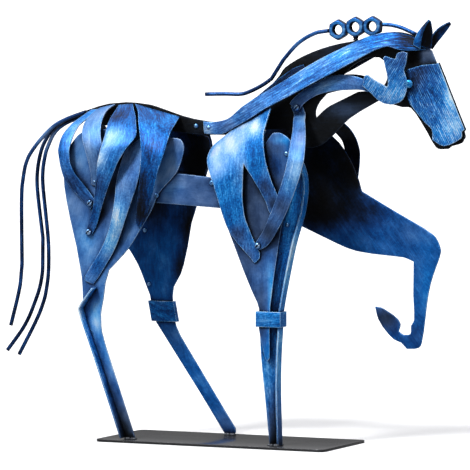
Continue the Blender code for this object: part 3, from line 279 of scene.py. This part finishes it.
# Pieces whose strokes run straight along them, and pieces that are round
STRAIGHT_FLOW = ("blade", "cover", "face", "cheek", "core", "base", "left_fore_leg", "nut", "screw", "rivet",
                 "cuff")
ROUND_PIECES = ("tail_rod", "mane_rod", "mane_post", "screw", "rivet")
# A piece's centre line is fitted through the middles of its slices, by a polynomial
FLOW_SLOTS = 12
BENT_DEGREE = 4
# Angles above which an edge stays sharp
SHEET_CREASE = math.radians(35)
ROUND_CREASE = math.radians(62)
NUT_CREASE = math.radians(24)
SCREW_CREASE = math.radians(40)
# A distance that is outside the horse on either side, in metres
OUTSIDE = 0.2


def has_word(name, words):
    return any(word in name for word in words)


def side_of(name):
    return LEFT if name.startswith("left") else RIGHT


def add_mesh(name, verts, faces):
    mesh = bpy.data.meshes.new(name)
    mesh.from_pydata([tuple(v) for v in verts], [], faces)
    return add_object(name, mesh)


def add_object(name, data):
    thing = bpy.data.objects.new(name, data)
    bpy.context.scene.collection.objects.link(thing)
    return thing


def corners(name):
    """A node's lowest and highest corners."""
    low, high = (Vector(corner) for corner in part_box(name))
    return low, high


def turn(index, sides):
    """The angle of a point on a ring."""
    return 2 * math.pi * index / sides


def lathe_faces(rings, sides):
    """The faces of a closed turned shape, whose rings of points follow each other."""
    faces = [tuple(reversed(range(sides))), tuple((rings - 1) * sides + i for i in range(sides))]
    for level in range(rings - 1):
        for i in range(sides):
            a, b = level * sides + i, level * sides + (i + 1) % sides
            faces.append((a, b, b + sides, a + sides))
    return faces


def weld_bead(name, centre, material):
    """A lumpy bead of weld beside a foot."""
    bm = bmesh.new()
    bmesh.ops.create_icosphere(bm, subdivisions=3, radius=1.0)
    for v in bm.verts:
        lump = 1 + 0.16 * noise.noise(v.co * 2.3 + centre * 900) + 0.08 * noise.noise(v.co * 5.1)
        v.co = centre + Vector((v.co.x, v.co.y, max(v.co.z, -WELD_FOOT))) * WELD_SIZE * lump
    mesh = bpy.data.meshes.new(name)
    bm.to_mesh(mesh)
    bm.free()
    piece = add_object(name, mesh)
    mesh.shade_smooth()
    mesh.materials.append(material)
    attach(piece, "root")


def weld_foot(name, material):
    """Beads of weld along both sides of a sole, on the base plate."""
    low = corners(name)[0]
    sole = [v.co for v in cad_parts[name].data.vertices if v.co.z < low.z + SOLE_DEPTH]
    rear, front = min(v.x for v in sole), max(v.x for v in sole)
    inner, outer = min(abs(v.y) for v in sole), max(abs(v.y) for v in sole)
    for index, share in enumerate(WELD_PLACES, 1):
        x = rear + (front - rear) * share
        for face, y in (("outer", outer), ("inner", inner)):
            weld_bead(f"{name}_weld_{face}_{index}", Vector((x, side_of(name) * y, SOLE * MM)), material)


def tone_entry(name):
    """The entry of TONES for a piece of the frame, whichever side it is on."""
    if name in OWN_TONES:
        return TONES[OWN_TONES[name]]
    for key in sorted(TONES, key=len, reverse=True):
        if key in name:
            return TONES[key]
    raise ValueError(f"no tone for {name}")


def inner_change(name):
    """How much darker a piece is painted on its face towards the centre plane, as dark paint and painted
    shade.
    """
    if name in OWN_TONES or "cuff" in name:
        return 0.0
    return INNER_LEG_TONE if "leg" in name else INNER_TONE


def vertex_values(mesh, kind):
    """One row of three numbers for each vertex: its place or its normal."""
    values = np.empty(len(mesh.vertices) * 3)
    mesh.vertices.foreach_get(kind, values)
    return values.reshape(-1, 3)


def flow_along(places, name):
    """Each point's place along a piece, across it and through it, in millimetres."""
    middle = places.mean(axis=0)
    directions = np.linalg.eigh(np.cov((places - middle).T))[1]
    along = directions[:, 2]
    along = along * (1 if along[2] > 0 else -1)
    thin = directions[:, 0]
    travel = (places - middle) @ along
    slots = np.linspace(travel.min(), travel.max(), FLOW_SLOTS + 1)
    index = np.clip(np.digitize(travel, slots) - 1, 0, FLOW_SLOTS - 1)
    centres = []
    for k in range(FLOW_SLOTS):
        near = places[index == k]
        spot = near.mean(axis=0) if len(near) else middle + along * (slots[k] + slots[k + 1]) / 2
        centres.append(spot)
    centres = np.array(centres)
    stations = (centres - middle) @ along
    fit = np.polynomial.Polynomial.fit
    degree = 1 if has_word(name, STRAIGHT_FLOW) else BENT_DEGREE
    centre = np.stack([fit(stations, centres[:, i], degree)(travel) for i in range(3)], axis=1)
    across = np.cross(thin, along)
    offset = places - centre
    return np.stack([travel, offset @ across, offset @ thin], axis=1)


def paint_attributes(piece, name):
    """Give a piece its flow, its tone and its dullness, at every vertex."""
    mesh = piece.data
    places = vertex_values(mesh, "co") / MM
    attribute = mesh.attributes.new("flow", "FLOAT_VECTOR", "POINT")
    attribute.data.foreach_set("vector", flow_along(places, name).ravel())
    base, dull, patches = tone_entry(name)
    tone = np.full(len(places), base)
    dullness = np.full(len(places), dull)
    height = places[:, 2] - SOLE
    # patches: the patina's own lighter and darker places, and painted highlights and painted shadows
    for x, z, reach_x, reach_z, change, duller in patches:
        share = np.exp(-((places[:, 0] - x) / reach_x) ** 2 - ((height - z) / reach_z) ** 2)
        tone += change * share
        dullness += duller * share
    # faces towards the centre plane painted darker: dark paint and painted shade
    if name.startswith(("right", "left")) and not has_word(name, ROUND_PIECES):
        facing = vertex_values(mesh, "normal")[:, 1] * side_of(name)
        tone += inner_change(name) * np.clip(-facing * 2, 0, 1)
    for word, values in (("tone", tone), ("dull", dullness)):
        attribute = mesh.attributes.new(word, "FLOAT", "POINT")
        attribute.data.foreach_set("value", values)


def smoothed(piece):
    """Subdivide a piece, after moving its points so that the smooth surface passes through them."""
    modifier = piece.modifiers.new("smooth", "SUBSURF")
    modifier.levels = REFINE_LEVELS
    modifier.render_levels = REFINE_LEVELS
    target = vertex_values(piece.data, "co")
    places = target.copy()
    for _ in range(FIT_PASSES):
        bpy.context.view_layer.update()
        shown = piece.evaluated_get(bpy.context.evaluated_depsgraph_get()).to_mesh()
        places = places + (target - vertex_values(shown, "co")[:len(target)])
        piece.data.vertices.foreach_set("co", places.ravel())
        piece.data.update()
    bpy.context.view_layer.update()
    shown = piece.evaluated_get(bpy.context.evaluated_depsgraph_get())
    mesh = bpy.data.meshes.new_from_object(shown)
    piece.modifiers.clear()
    old = piece.data
    piece.data = mesh
    bpy.data.meshes.remove(old)


def cut_grid(bm, spacing):
    """Cut a plate's faces along a square grid, seen from the side."""
    for axis in (Vector((1, 0, 0)), Vector((0, 0, 1))):
        reaches = [v.co.dot(axis) for v in bm.verts]
        place = min(reaches) + spacing * MM
        while place < max(reaches):
            geometry = bm.verts[:] + bm.edges[:] + bm.faces[:]
            bmesh.ops.bisect_plane(bm, geom=geometry, plane_co=axis * place, plane_no=axis, dist=CUT_REACH)
            place += spacing * MM


def blur_depth(bm):
    """Turn a plate's flat facets into one smooth surface, by a local fit of its depth on each side."""
    for outward in (1, -1):
        side = [v for v in bm.verts if any(face.normal.y * outward > DOME_FACING for face in v.link_faces)]
        places = np.array([(v.co.x, v.co.z, v.co.y) for v in side]) / MM
        fitted = []
        for x, z, y in places:
            near = np.hypot(places[:, 0] - x, places[:, 1] - z) < DOME_REACH
            across, up, depth = (places[near] - (x, z, 0.0)).T
            weight = np.exp(-(across ** 2 + up ** 2) / (2 * DOME_BLUR ** 2)) ** 0.5
            terms = np.stack([np.ones_like(across), across, up, across * up, across ** 2, up ** 2], axis=1)
            fitted.append(np.linalg.lstsq(terms * weight[:, None], depth * weight, rcond=None)[0][0])
        for v, depth in zip(side, fitted):
            v.co.y = depth * MM


def soften_rim(mesh, spacing, domed):
    """Round a sheet's cut edges a little, and give a plate a grid of points."""
    bm = bmesh.new()
    bm.from_mesh(mesh)
    if spacing and not domed:
        bmesh.ops.dissolve_limit(bm, angle_limit=math.radians(1), verts=bm.verts, edges=bm.edges)
    if domed:
        cut_grid(bm, spacing)
        bm.normal_update()
        blur_depth(bm)
        bm.normal_update()
    sharp = [edge for edge in bm.edges if edge.calc_face_angle(0.0) > RIM_ANGLE]
    bmesh.ops.bevel(bm, geom=sharp, offset=RIM_BEVEL * MM, segments=2, profile=0.5, affect="EDGES",
                    clamp_overlap=True)
    if spacing and not domed:
        cut_grid(bm, spacing)
    bmesh.ops.triangulate(bm, faces=[face for face in bm.faces if len(face.verts) > 4])
    bm.to_mesh(mesh)
    bm.free()


def refine(name, material):
    """A smooth copy of a node, with its sharp edges kept, that replaces the node."""
    round_piece = has_word(name, ROUND_PIECES)
    crease_angle = ROUND_CREASE if round_piece else SHEET_CREASE
    domed = has_word(name, DOMED_PIECES)
    flat = domed or has_word(name, FLAT_PIECES)
    bm = bmesh.new()
    bm.from_mesh(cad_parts[name].data)
    bmesh.ops.remove_doubles(bm, verts=bm.verts, dist=MERGE_REACH)
    if not flat:
        bmesh.ops.join_triangles(bm, faces=bm.faces, angle_face_threshold=math.radians(15),
                                 angle_shape_threshold=math.radians(60))
        crease = bm.edges.layers.float.new("crease_edge")
        for edge in bm.edges:
            if edge.calc_face_angle(0.0) > crease_angle:
                edge[crease] = 1.0
    mesh = bpy.data.meshes.new(name + "_finish")
    bm.to_mesh(mesh)
    bm.free()
    piece = add_object(name + "_finish", mesh)
    if not flat:
        smoothed(piece)
    if not round_piece:
        spacing = DOMED_GRID if domed else FLAT_GRID if flat else 0
        soften_rim(piece.data, spacing, domed)
    piece.data.shade_smooth()
    piece.data.set_sharp_from_angle(angle=crease_angle if round_piece else RIM_ANGLE)
    paint_attributes(piece, name)
    piece.data.materials.clear()
    piece.data.materials.append(material)
    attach(piece, "root")
    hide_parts(name)


class Nodes:
    """Short ways to add and link shader nodes in one material."""

    def __init__(self, name):
        self.material = bpy.data.materials.new(name)
        self.material.use_nodes = True
        self.tree = self.material.node_tree
        self.shader = self.tree.nodes["Principled BSDF"]

    def add(self, kind):
        return self.tree.nodes.new("ShaderNode" + kind)

    def link(self, source, target):
        self.tree.links.new(source, target)

    def put(self, socket, value):
        if isinstance(value, bpy.types.NodeSocket):
            self.link(value, socket)
        else:
            socket.default_value = value

    def attribute(self, name):
        node = self.add("Attribute")
        node.attribute_name = name
        return node

    def object_place(self, scale):
        """A point's place in its object, in metres times a scale."""
        place = self.add("TexCoord").outputs["Object"]
        return self.stretched(place, (scale, scale, scale))

    def maths(self, operation, a, b=0.5, c=0.5):
        node = self.add("Math")
        node.operation = operation
        for socket, value in zip(node.inputs, (a, b, c)):
            self.put(socket, value)
        return node.outputs[0]

    def stretched(self, vector, scale):
        node = self.add("VectorMath")
        node.operation = "MULTIPLY"
        self.put(node.inputs[0], vector)
        node.inputs[1].default_value = scale
        return node.outputs[0]

    def noise(self, vector, detail=4.0, roughness=0.55, distortion=0.0):
        node = self.add("TexNoise")
        self.link(vector, node.inputs["Vector"])
        for word, value in (("Scale", 1.0), ("Detail", detail), ("Roughness", roughness),
                            ("Distortion", distortion)):
            node.inputs[word].default_value = value
        return node.outputs["Fac"]

    def spread(self, value, low, high, new_low=0.0, new_high=1.0):
        node = self.add("MapRange")
        self.put(node.inputs["Value"], value)
        limits = {"From Min": low, "From Max": high, "To Min": new_low, "To Max": new_high}
        for socket, number in limits.items():
            node.inputs[socket].default_value = number
        return node.outputs["Result"]

    def swing(self, value, low=0.36, high=0.64):
        """A noise as a change between -0.5 and 0.5."""
        return self.spread(value, low, high, -0.5, 0.5)

    def ramp(self, value, stops):
        node = self.add("ValToRGB")
        self.put(node.inputs["Fac"], value)
        elements = node.color_ramp.elements
        while len(elements) < len(stops):
            elements.new(1.0)
        for element, (place, colour) in zip(elements, stops):
            element.position = place
            element.color = (*colour, 1.0)
        return node.outputs["Color"]

    def mix(self, share, a, b, blend="MIX"):
        node = self.add("Mix")
        node.data_type = "RGBA"
        node.blend_type = blend
        for socket, value in ((node.inputs[0], share), (node.inputs[6], a), (node.inputs[7], b)):
            self.put(socket, value)
        return node.outputs[2]

    def round_normal(self, radius):
        node = self.add("Bevel")
        node.samples = 4
        node.inputs["Radius"].default_value = radius
        return node.outputs["Normal"]

    def edges(self, radius, low, high):
        """1 on edges within the radius and 0 on flat places."""
        node = self.add("VectorMath")
        node.operation = "DOT_PRODUCT"
        self.link(self.round_normal(radius), node.inputs[0])
        self.link(self.add("NewGeometry").outputs["Normal"], node.inputs[1])
        return self.spread(self.maths("SUBTRACT", 1.0, node.outputs["Value"]), low, high)

    def recess(self, reach):
        """1 deep in a gap between pieces and 0 in the open: the mask of the painted shade in gaps."""
        node = self.add("AmbientOcclusion")
        node.samples = 6
        node.inputs["Distance"].default_value = reach
        return self.spread(node.outputs["AO"], 0.25, 0.95, 1.0, 0.0)

    def hair_lines(self, flow, spacing):
        """1 on thin broken lines that run along a piece and wander a little."""
        across = self.add("SeparateXYZ")
        self.link(flow, across.inputs[0])
        wander = self.noise(self.stretched(flow, (0.035, 0.11, 0.0)), 2.0, 0.5)
        even = self.maths("MULTIPLY", across.outputs["Y"], 2 * math.pi / spacing)
        crest = self.spread(self.maths("SINE", self.maths("MULTIPLY_ADD", wander, 16.0, even)), 0.45, 0.95)
        broken = self.spread(self.noise(self.stretched(flow, (0.16, 0.5, 0.0)), 2.0, 0.5), 0.42, 0.56)
        return self.maths("MULTIPLY", crest, broken)

    def bump(self, height, strength, distance, normal=None):
        node = self.add("Bump")
        node.inputs["Strength"].default_value = strength
        node.inputs["Distance"].default_value = distance
        self.link(height, node.inputs["Height"])
        if normal is not None:
            self.link(normal, node.inputs["Normal"])
        return node.outputs["Normal"]

    def finish(self, colour, roughness, normal, metallic):
        """Give the shader its colour, roughness and normal, and a metallic share."""
        self.link(colour, self.shader.inputs["Base Color"])
        self.put(self.shader.inputs["Roughness"], roughness)
        self.link(normal, self.shader.inputs["Normal"])
        self.shader.inputs["Metallic"].default_value = metallic
        return self.material


def patina(name, stroke=0.15, grain=0.17, mottle=0.12, edge=0.42, purple=0.4, recess_shade=0.5, metallic=0.5,
           roughness=0.5, lines=0.0, spacing=1.5):
    """Blue patina, brushed along each piece and worn light in its strokes; its cut edges are painted lighter
    as wear and as a painted highlight, and painted shade darkens it near other pieces.
    """
    n = Nodes(name)
    flow = n.attribute("flow").outputs["Vector"]
    tone = n.attribute("tone").outputs["Fac"]
    dull = n.attribute("dull").outputs["Fac"]
    rubbed = n.spread(dull, 0.1, 0.8, 1.0, SMOOTH_SHARE)
    long_strokes = n.noise(n.stretched(flow, LONG_STROKES), 6.0, 0.66, 0.15)
    fine_strokes = n.noise(n.stretched(flow, FINE_STROKES), 3.0, 0.65)
    stipple = n.noise(n.stretched(flow, STIPPLE), 4.0, 0.68)
    clouds = n.noise(n.stretched(flow, CLOUDS), 3.0, 0.5)
    cloudy = n.swing(clouds, 0.3, 0.7)
    marks = n.maths("MULTIPLY", n.swing(long_strokes), stroke)
    marks = n.maths("MULTIPLY_ADD", n.swing(fine_strokes), grain, marks)
    marks = n.maths("MULTIPLY_ADD", n.swing(stipple), grain, marks)
    level = n.maths("MULTIPLY_ADD", marks, rubbed, tone)
    level = n.maths("MULTIPLY_ADD", cloudy, mottle, level)
    if lines:
        drawn = n.maths("MULTIPLY", n.hair_lines(flow, spacing), rubbed)
        level = n.maths("MULTIPLY_ADD", drawn, lines, level)
    # cut edges painted lighter: partly edge wear, partly a painted highlight where edges catch the light
    edge_wear_and_highlight = n.maths("MULTIPLY", n.edges(EDGE_WEAR_AND_HIGHLIGHT_REACH, 0.004, 0.14), n.spread(fine_strokes, 0.25, 0.6, 0.4, 1.0))
    level = n.maths("MULTIPLY_ADD", edge_wear_and_highlight, edge, level)
    # painted shade: darker where other pieces are near, from ambient occlusion
    level = n.maths("MULTIPLY_ADD", n.recess(RECESS_REACH), -recess_shade, level)
    greyness = n.spread(n.maths("MULTIPLY_ADD", cloudy, 0.3, dull), 0.04, 1.0)
    colour = n.mix(greyness, n.ramp(level, COBALT), n.ramp(level, SLATE))
    tint = n.maths("MULTIPLY", n.spread(clouds, 0.55, 0.75), purple)
    colour = n.mix(tint, colour, n.mix(0.5, colour, VIOLET, "MULTIPLY"))
    n.shader.inputs["Specular IOR Level"].default_value = 0.22
    n.shader.inputs["Coat Weight"].default_value = 0.06
    n.shader.inputs["Coat Roughness"].default_value = 0.3
    rough = n.spread(stipple, 0.3, 0.7, roughness - 0.08, roughness + 0.12)
    relief = n.maths("MULTIPLY_ADD", fine_strokes, 0.5, n.maths("MULTIPLY", stipple, 0.8))
    return n.finish(colour, rough, n.bump(relief, 0.5, 0.0004, n.round_normal(0.0003)), metallic)


def base_finish():
    """Semi-gloss graphite with a faint grain."""
    n = Nodes("base graphite")
    grain = n.noise(n.object_place(900.0), 4.0, 0.7)
    clouds = n.noise(n.object_place(14.0), 3.0, 0.5)
    colour = n.ramp(clouds, [(0.3, (0.020, 0.021, 0.023)), (0.7, (0.038, 0.039, 0.042))])
    colour = n.mix(n.edges(0.0006, 0.02, 0.3), colour, (0.16, 0.16, 0.17, 1.0))
    rough = n.spread(grain, 0.3, 0.7, 0.16, 0.26)
    return n.finish(colour, rough, n.bump(grain, 0.12, 0.0001, n.round_normal(0.0004)), 0.3)


def weld_finish():
    """Dull burnt grey of a weld bead."""
    n = Nodes("weld grey")
    grain = n.noise(n.object_place(700.0), 4.0, 0.7)
    colour = n.ramp(grain, [(0.3, (0.015, 0.016, 0.02)), (0.7, (0.12, 0.13, 0.15))])
    return n.finish(colour, 0.45, n.bump(grain, 0.6, 0.0004), 0.7)


def floor_finish():
    n = Nodes("pale floor")
    grain = n.noise(n.object_place(3.0), 2.0, 0.5)
    pale = n.ramp(grain, [(0.3, (0.925, 0.925, 0.925)), (0.7, (0.94, 0.94, 0.94))])
    seen = n.add("LightPath").outputs["Is Camera Ray"]
    n.link(n.mix(seen, FLOOR_BOUNCE, pale), n.shader.inputs["Base Color"])
    n.shader.inputs["Roughness"].default_value = 0.9
    n.shader.inputs["Specular IOR Level"].default_value = 0.1
    return n.material


def nut_ring(kind, end, centre, flats, half):
    """A ring of points on a nut's face, on its hexagonal side or at the mouth of its hole."""
    points = []
    for i in range(NUT_SIDES):
        angle = turn(i, NUT_SIDES)
        hexagon = flats / math.cos((angle + math.pi / 6) % (math.pi / 3) - math.pi / 6)
        drop = max(0.0, hexagon - flats * NUT_CROWN) * NUT_CHAMFER
        radius = {"face": flats * NUT_CROWN, "side": hexagon, "mouth": flats * NUT_HOLE + NUT_MOUTH}[kind]
        depth = half - (drop if kind == "side" else 0.0)
        points.append(centre + Vector((radius * math.cos(angle), end * depth, radius * math.sin(angle))))
    return points


def nut_piece(name, material):
    """A hex nut in place of its plain solid, with chamfered faces and a ridged hole."""
    low, high = corners(name)
    centre = (low + high) / 2
    flats = (high.x - low.x) / 2
    half = (high.y - low.y) / 2
    hole = flats * NUT_HOLE
    verts = []
    for kind, end in (("face", -1), ("side", -1), ("side", 1), ("face", 1), ("mouth", 1)):
        verts += nut_ring(kind, end, centre, flats, half)
    steps = [(k * THREAD_STEP, THREAD_DEPTH * (k % 2)) for k in range(11)] + [(1.0, THREAD_DEPTH / 2)]
    start = NUT_MOUTH - half
    for share, cut in reversed(steps):
        depth = start + share * 2 * -start
        for i in range(NUT_SIDES):
            angle = turn(i, NUT_SIDES)
            radius = hole + cut
            verts.append(centre + Vector((radius * math.cos(angle), depth, radius * math.sin(angle))))
    verts += nut_ring("mouth", -1, centre, flats, half)
    rings = len(verts) // NUT_SIDES
    faces = []
    for ring in range(rings):
        a, b = ring * NUT_SIDES, (ring + 1) % rings * NUT_SIDES
        for i in range(NUT_SIDES):
            j = (i + 1) % NUT_SIDES
            faces.append((a + i, a + j, b + j, b + i))
    piece = add_mesh(name + "_finish", verts, faces)
    bm = bmesh.new()
    bm.from_mesh(piece.data)
    bmesh.ops.recalc_face_normals(bm, faces=bm.faces)
    bm.to_mesh(piece.data)
    bm.free()
    piece.data.shade_smooth()
    piece.data.set_sharp_from_angle(angle=NUT_CREASE)
    paint_attributes(piece, name)
    # painted shade in the hole, painted highlight on the faces, sides a little darker
    for vert, tone in zip(piece.data.vertices, piece.data.attributes["tone"].data):
        reach = math.hypot(vert.co.x - centre.x, vert.co.z - centre.z)
        level = abs(vert.co.y - centre.y)
        if reach < hole + HOLE_REACH:
            tone.value += HOLE_SHADE
        elif reach < flats and level > half * NUT_FACE_LEVEL:
            tone.value += NUT_FACE_HIGHLIGHT
        else:
            tone.value += NUT_SIDE_TONE
    piece.data.materials.append(material)
    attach(piece, "root")
    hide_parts(name)


def post_piece(name, material):
    """The short post under the middle nut, flared where it is welded at each end."""
    low, high = corners(name)
    centre = (low + high) / 2
    radius = (high.x - low.x) / 2
    levels = {"low": low.z, "middle": centre.z, "high": high.z}
    verts = []
    for share, level, rise in POST_PROFILE:
        for i in range(POST_SIDES):
            angle = turn(i, POST_SIDES)
            reach = radius * share
            verts.append((centre.x + reach * math.cos(angle), reach * math.sin(angle), levels[level] + rise))
    piece = add_mesh(name + "_finish", verts, lathe_faces(len(POST_PROFILE), POST_SIDES))
    piece.data.shade_smooth()
    paint_attributes(piece, name)
    piece.data.materials.append(material)
    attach(piece, "root")
    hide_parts(name)


def surface_point(name, toward, x, z):
    """Where a line across the horse meets a piece from one side, and the face's normal there."""
    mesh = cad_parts[name].data
    tree = BVHTree.FromPolygons([v.co for v in mesh.vertices], [tuple(p.vertices) for p in mesh.polygons])
    start = Vector((x * MM, toward * OUTSIDE, (z + SOLE) * MM))
    place, normal = tree.ray_cast(start, Vector((0, -toward, 0)))[:2]
    if place is None:
        raise ValueError(f"nothing of {name} at {x}, {z}")
    return place, normal if normal.y * toward > 0 else -normal


def small_screw(index, name, x, z, radius, material):
    """A domed rivet head on the outer face of a piece, or on the face that shows."""
    toward = RIGHT if name in RIGHT_FACING else side_of(name)
    place, normal = surface_point(name, toward, x, z)
    right = normal.orthogonal().normalized()
    up = normal.cross(right)
    verts = []
    for share, rise in SMALL_HEAD:
        for i in range(SMALL_HEAD_SIDES):
            angle = turn(i, SMALL_HEAD_SIDES)
            reach = right * math.cos(angle) + up * math.sin(angle)
            verts.append(place + (reach * share + normal * rise) * radius * MM)
    piece = add_mesh(f"small_screw_{index}", verts, lathe_faces(len(SMALL_HEAD), SMALL_HEAD_SIDES))
    piece.data.shade_smooth()
    paint_attributes(piece, "screw")
    piece.data.materials.append(material)
    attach(piece, "root")


def screw_piece(name, material):
    """A screw head in place of its plain solid, with a rounded crown and a slot across it."""
    points = [v.co.copy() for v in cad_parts[name].data.vertices]
    middle = sum(points, Vector()) / len(points)
    directions = np.linalg.eigh(np.cov(np.array([p - middle for p in points]).T))[1]
    axis = Vector(directions[:, 0])
    axis = axis * (1 if axis.y * side_of(name) > 0 else -1)
    reaches = [(p - middle).dot(axis) for p in points]
    foot, rise = middle + axis * min(reaches), max(reaches) - min(reaches)
    radius = max(((p - middle) - axis * (p - middle).dot(axis)).length for p in points)
    right = axis.orthogonal().normalized()
    up = axis.cross(right)
    verts, changes = [], []
    for level, (share, height) in enumerate(SCREW_HEAD):
        for i in range(SCREW_SIDES):
            angle = turn(i, SCREW_SIDES)
            across = radius * share * math.sin(angle)
            slotted = abs(across) < radius * SLOT_WIDTH and height > CROWN_START
            lift = height - (SLOT_DEPTH if slotted else 0.0)
            place = right * (radius * share * math.cos(angle)) + up * across + axis * rise * lift
            verts.append(foot + place)
            # painted shade in the slot and at the foot of the head
            changes.append((SLOT_SHADE if slotted else 0.0) + (SCREW_FOOT_SHADE if level < 2 else 0.0))
    piece = add_mesh(name + "_finish", verts, lathe_faces(len(SCREW_HEAD), SCREW_SIDES))
    piece.data.shade_smooth()
    piece.data.set_sharp_from_angle(angle=SCREW_CREASE)
    paint_attributes(piece, name)
    for tone, change in zip(piece.data.attributes["tone"].data, changes):
        tone.value += change
    piece.data.materials.append(material)
    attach(piece, "root")
    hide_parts(name)


def place_camera():
    data = bpy.data.cameras.new("camera")
    data.lens = LENS
    data.sensor_width = SENSOR_WIDTH
    data.clip_end = VIEW_REACH
    camera = add_object("camera", data)
    level = math.cos(CAMERA_ELEVATION)
    back = Vector((math.sin(CAMERA_AZIMUTH) * level, -math.cos(CAMERA_AZIMUTH) * level,
                   math.sin(CAMERA_ELEVATION)))
    camera.location = CAMERA_TARGET + back * CAMERA_DISTANCE
    camera.rotation_euler = back.to_track_quat("Z", "Y").to_euler()
    bpy.context.scene.camera = camera
    bpy.context.scene.view_settings.view_transform = "Standard"


def place_floor():
    ends = [(x * FLOOR_REACH, y * FLOOR_REACH, 0) for x, y in ((-1, -1), (1, -1), (1, 1), (-1, 1))]
    floor = add_mesh("floor", ends, [(0, 1, 2, 3)])
    floor.data.materials.append(floor_finish())


def place_lights():
    world = bpy.data.worlds.new("studio")
    bpy.context.scene.world = world
    world.use_nodes = True
    tree = world.node_tree
    direction = tree.nodes.new("ShaderNodeTexCoord").outputs["Generated"]
    height = tree.nodes.new("ShaderNodeSeparateXYZ")
    tree.links.new(direction, height.inputs[0])
    ramp = tree.nodes.new("ShaderNodeValToRGB")
    tree.links.new(height.outputs["Z"], ramp.inputs["Fac"])
    elements = ramp.color_ramp.elements
    while len(elements) < len(SKY):
        elements.new(1.0)
    for element, (place, level) in zip(elements, SKY):
        element.position = place
        element.color = (level, level, level * SKY_BLUE, 1.0)
    background = tree.nodes["Background"]
    tree.links.new(ramp.outputs["Color"], background.inputs["Color"])
    background.inputs["Strength"].default_value = 1.0
    data = bpy.data.lights.new("key", "SUN")
    data.energy = SUN_STRENGTH
    data.angle = SUN_ANGLE
    add_object("key", data).rotation_euler = Vector(SUN_FROM).to_track_quat("Z", "Y").to_euler()


def dress():
    """Put a finished piece in place of every node, and add welds and small fasteners."""
    blue = patina("blue patina")
    dark = patina("dark patina", stroke=0.12, grain=0.10, mottle=0.08, edge=0.28, purple=0.1, metallic=0.35)
    rod = patina("rod patina", stroke=0.22, grain=0.12, mottle=0.2, edge=0.0, purple=0.1, roughness=0.3)
    plain = patina("plate patina", stroke=0.06, grain=0.07, mottle=0.16, purple=0.1)
    engraved = patina("engraved patina", stroke=0.12, lines=0.34, spacing=1.25, edge=0.45)
    lined = patina("lined patina", stroke=0.24, lines=0.2, spacing=2.4)
    bright = patina("rubbed screw", stroke=0.1, grain=0.2, mottle=0.1, edge=0.3, purple=0.0, metallic=0.8,
                    roughness=0.28)
    base = base_finish()
    for name in sorted(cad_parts):
        if name.startswith("mane_nut"):
            nut_piece(name, rod)
        elif name == "mane_post":
            post_piece(name, rod)
        elif name == "base_plate":
            refine(name, base)
        elif name == "core_plate":
            refine(name, dark)
        elif name.startswith(("tail_rod", "mane")):
            refine(name, rod)
        elif "screw" in name:
            screw_piece(name, bright)
        elif "rivet" in name:
            refine(name, bright)
        elif has_word(name, ("face_plate", "cheek_plate")):
            refine(name, engraved)
        elif "neck_strip" in name:
            refine(name, lined)
        elif has_word(name, PLAIN_PIECES):
            refine(name, plain)
        else:
            refine(name, blue)
    weld = weld_finish()
    for name in FOOT_PIECES:
        weld_foot(name, weld)
    for index, (name, x, z, radius) in enumerate(SMALL_SCREWS, 1):
        small_screw(index, name, x, z, radius, bright)


place_camera()
place_floor()
place_lights()
dress()
bpy.context.view_layer.update()
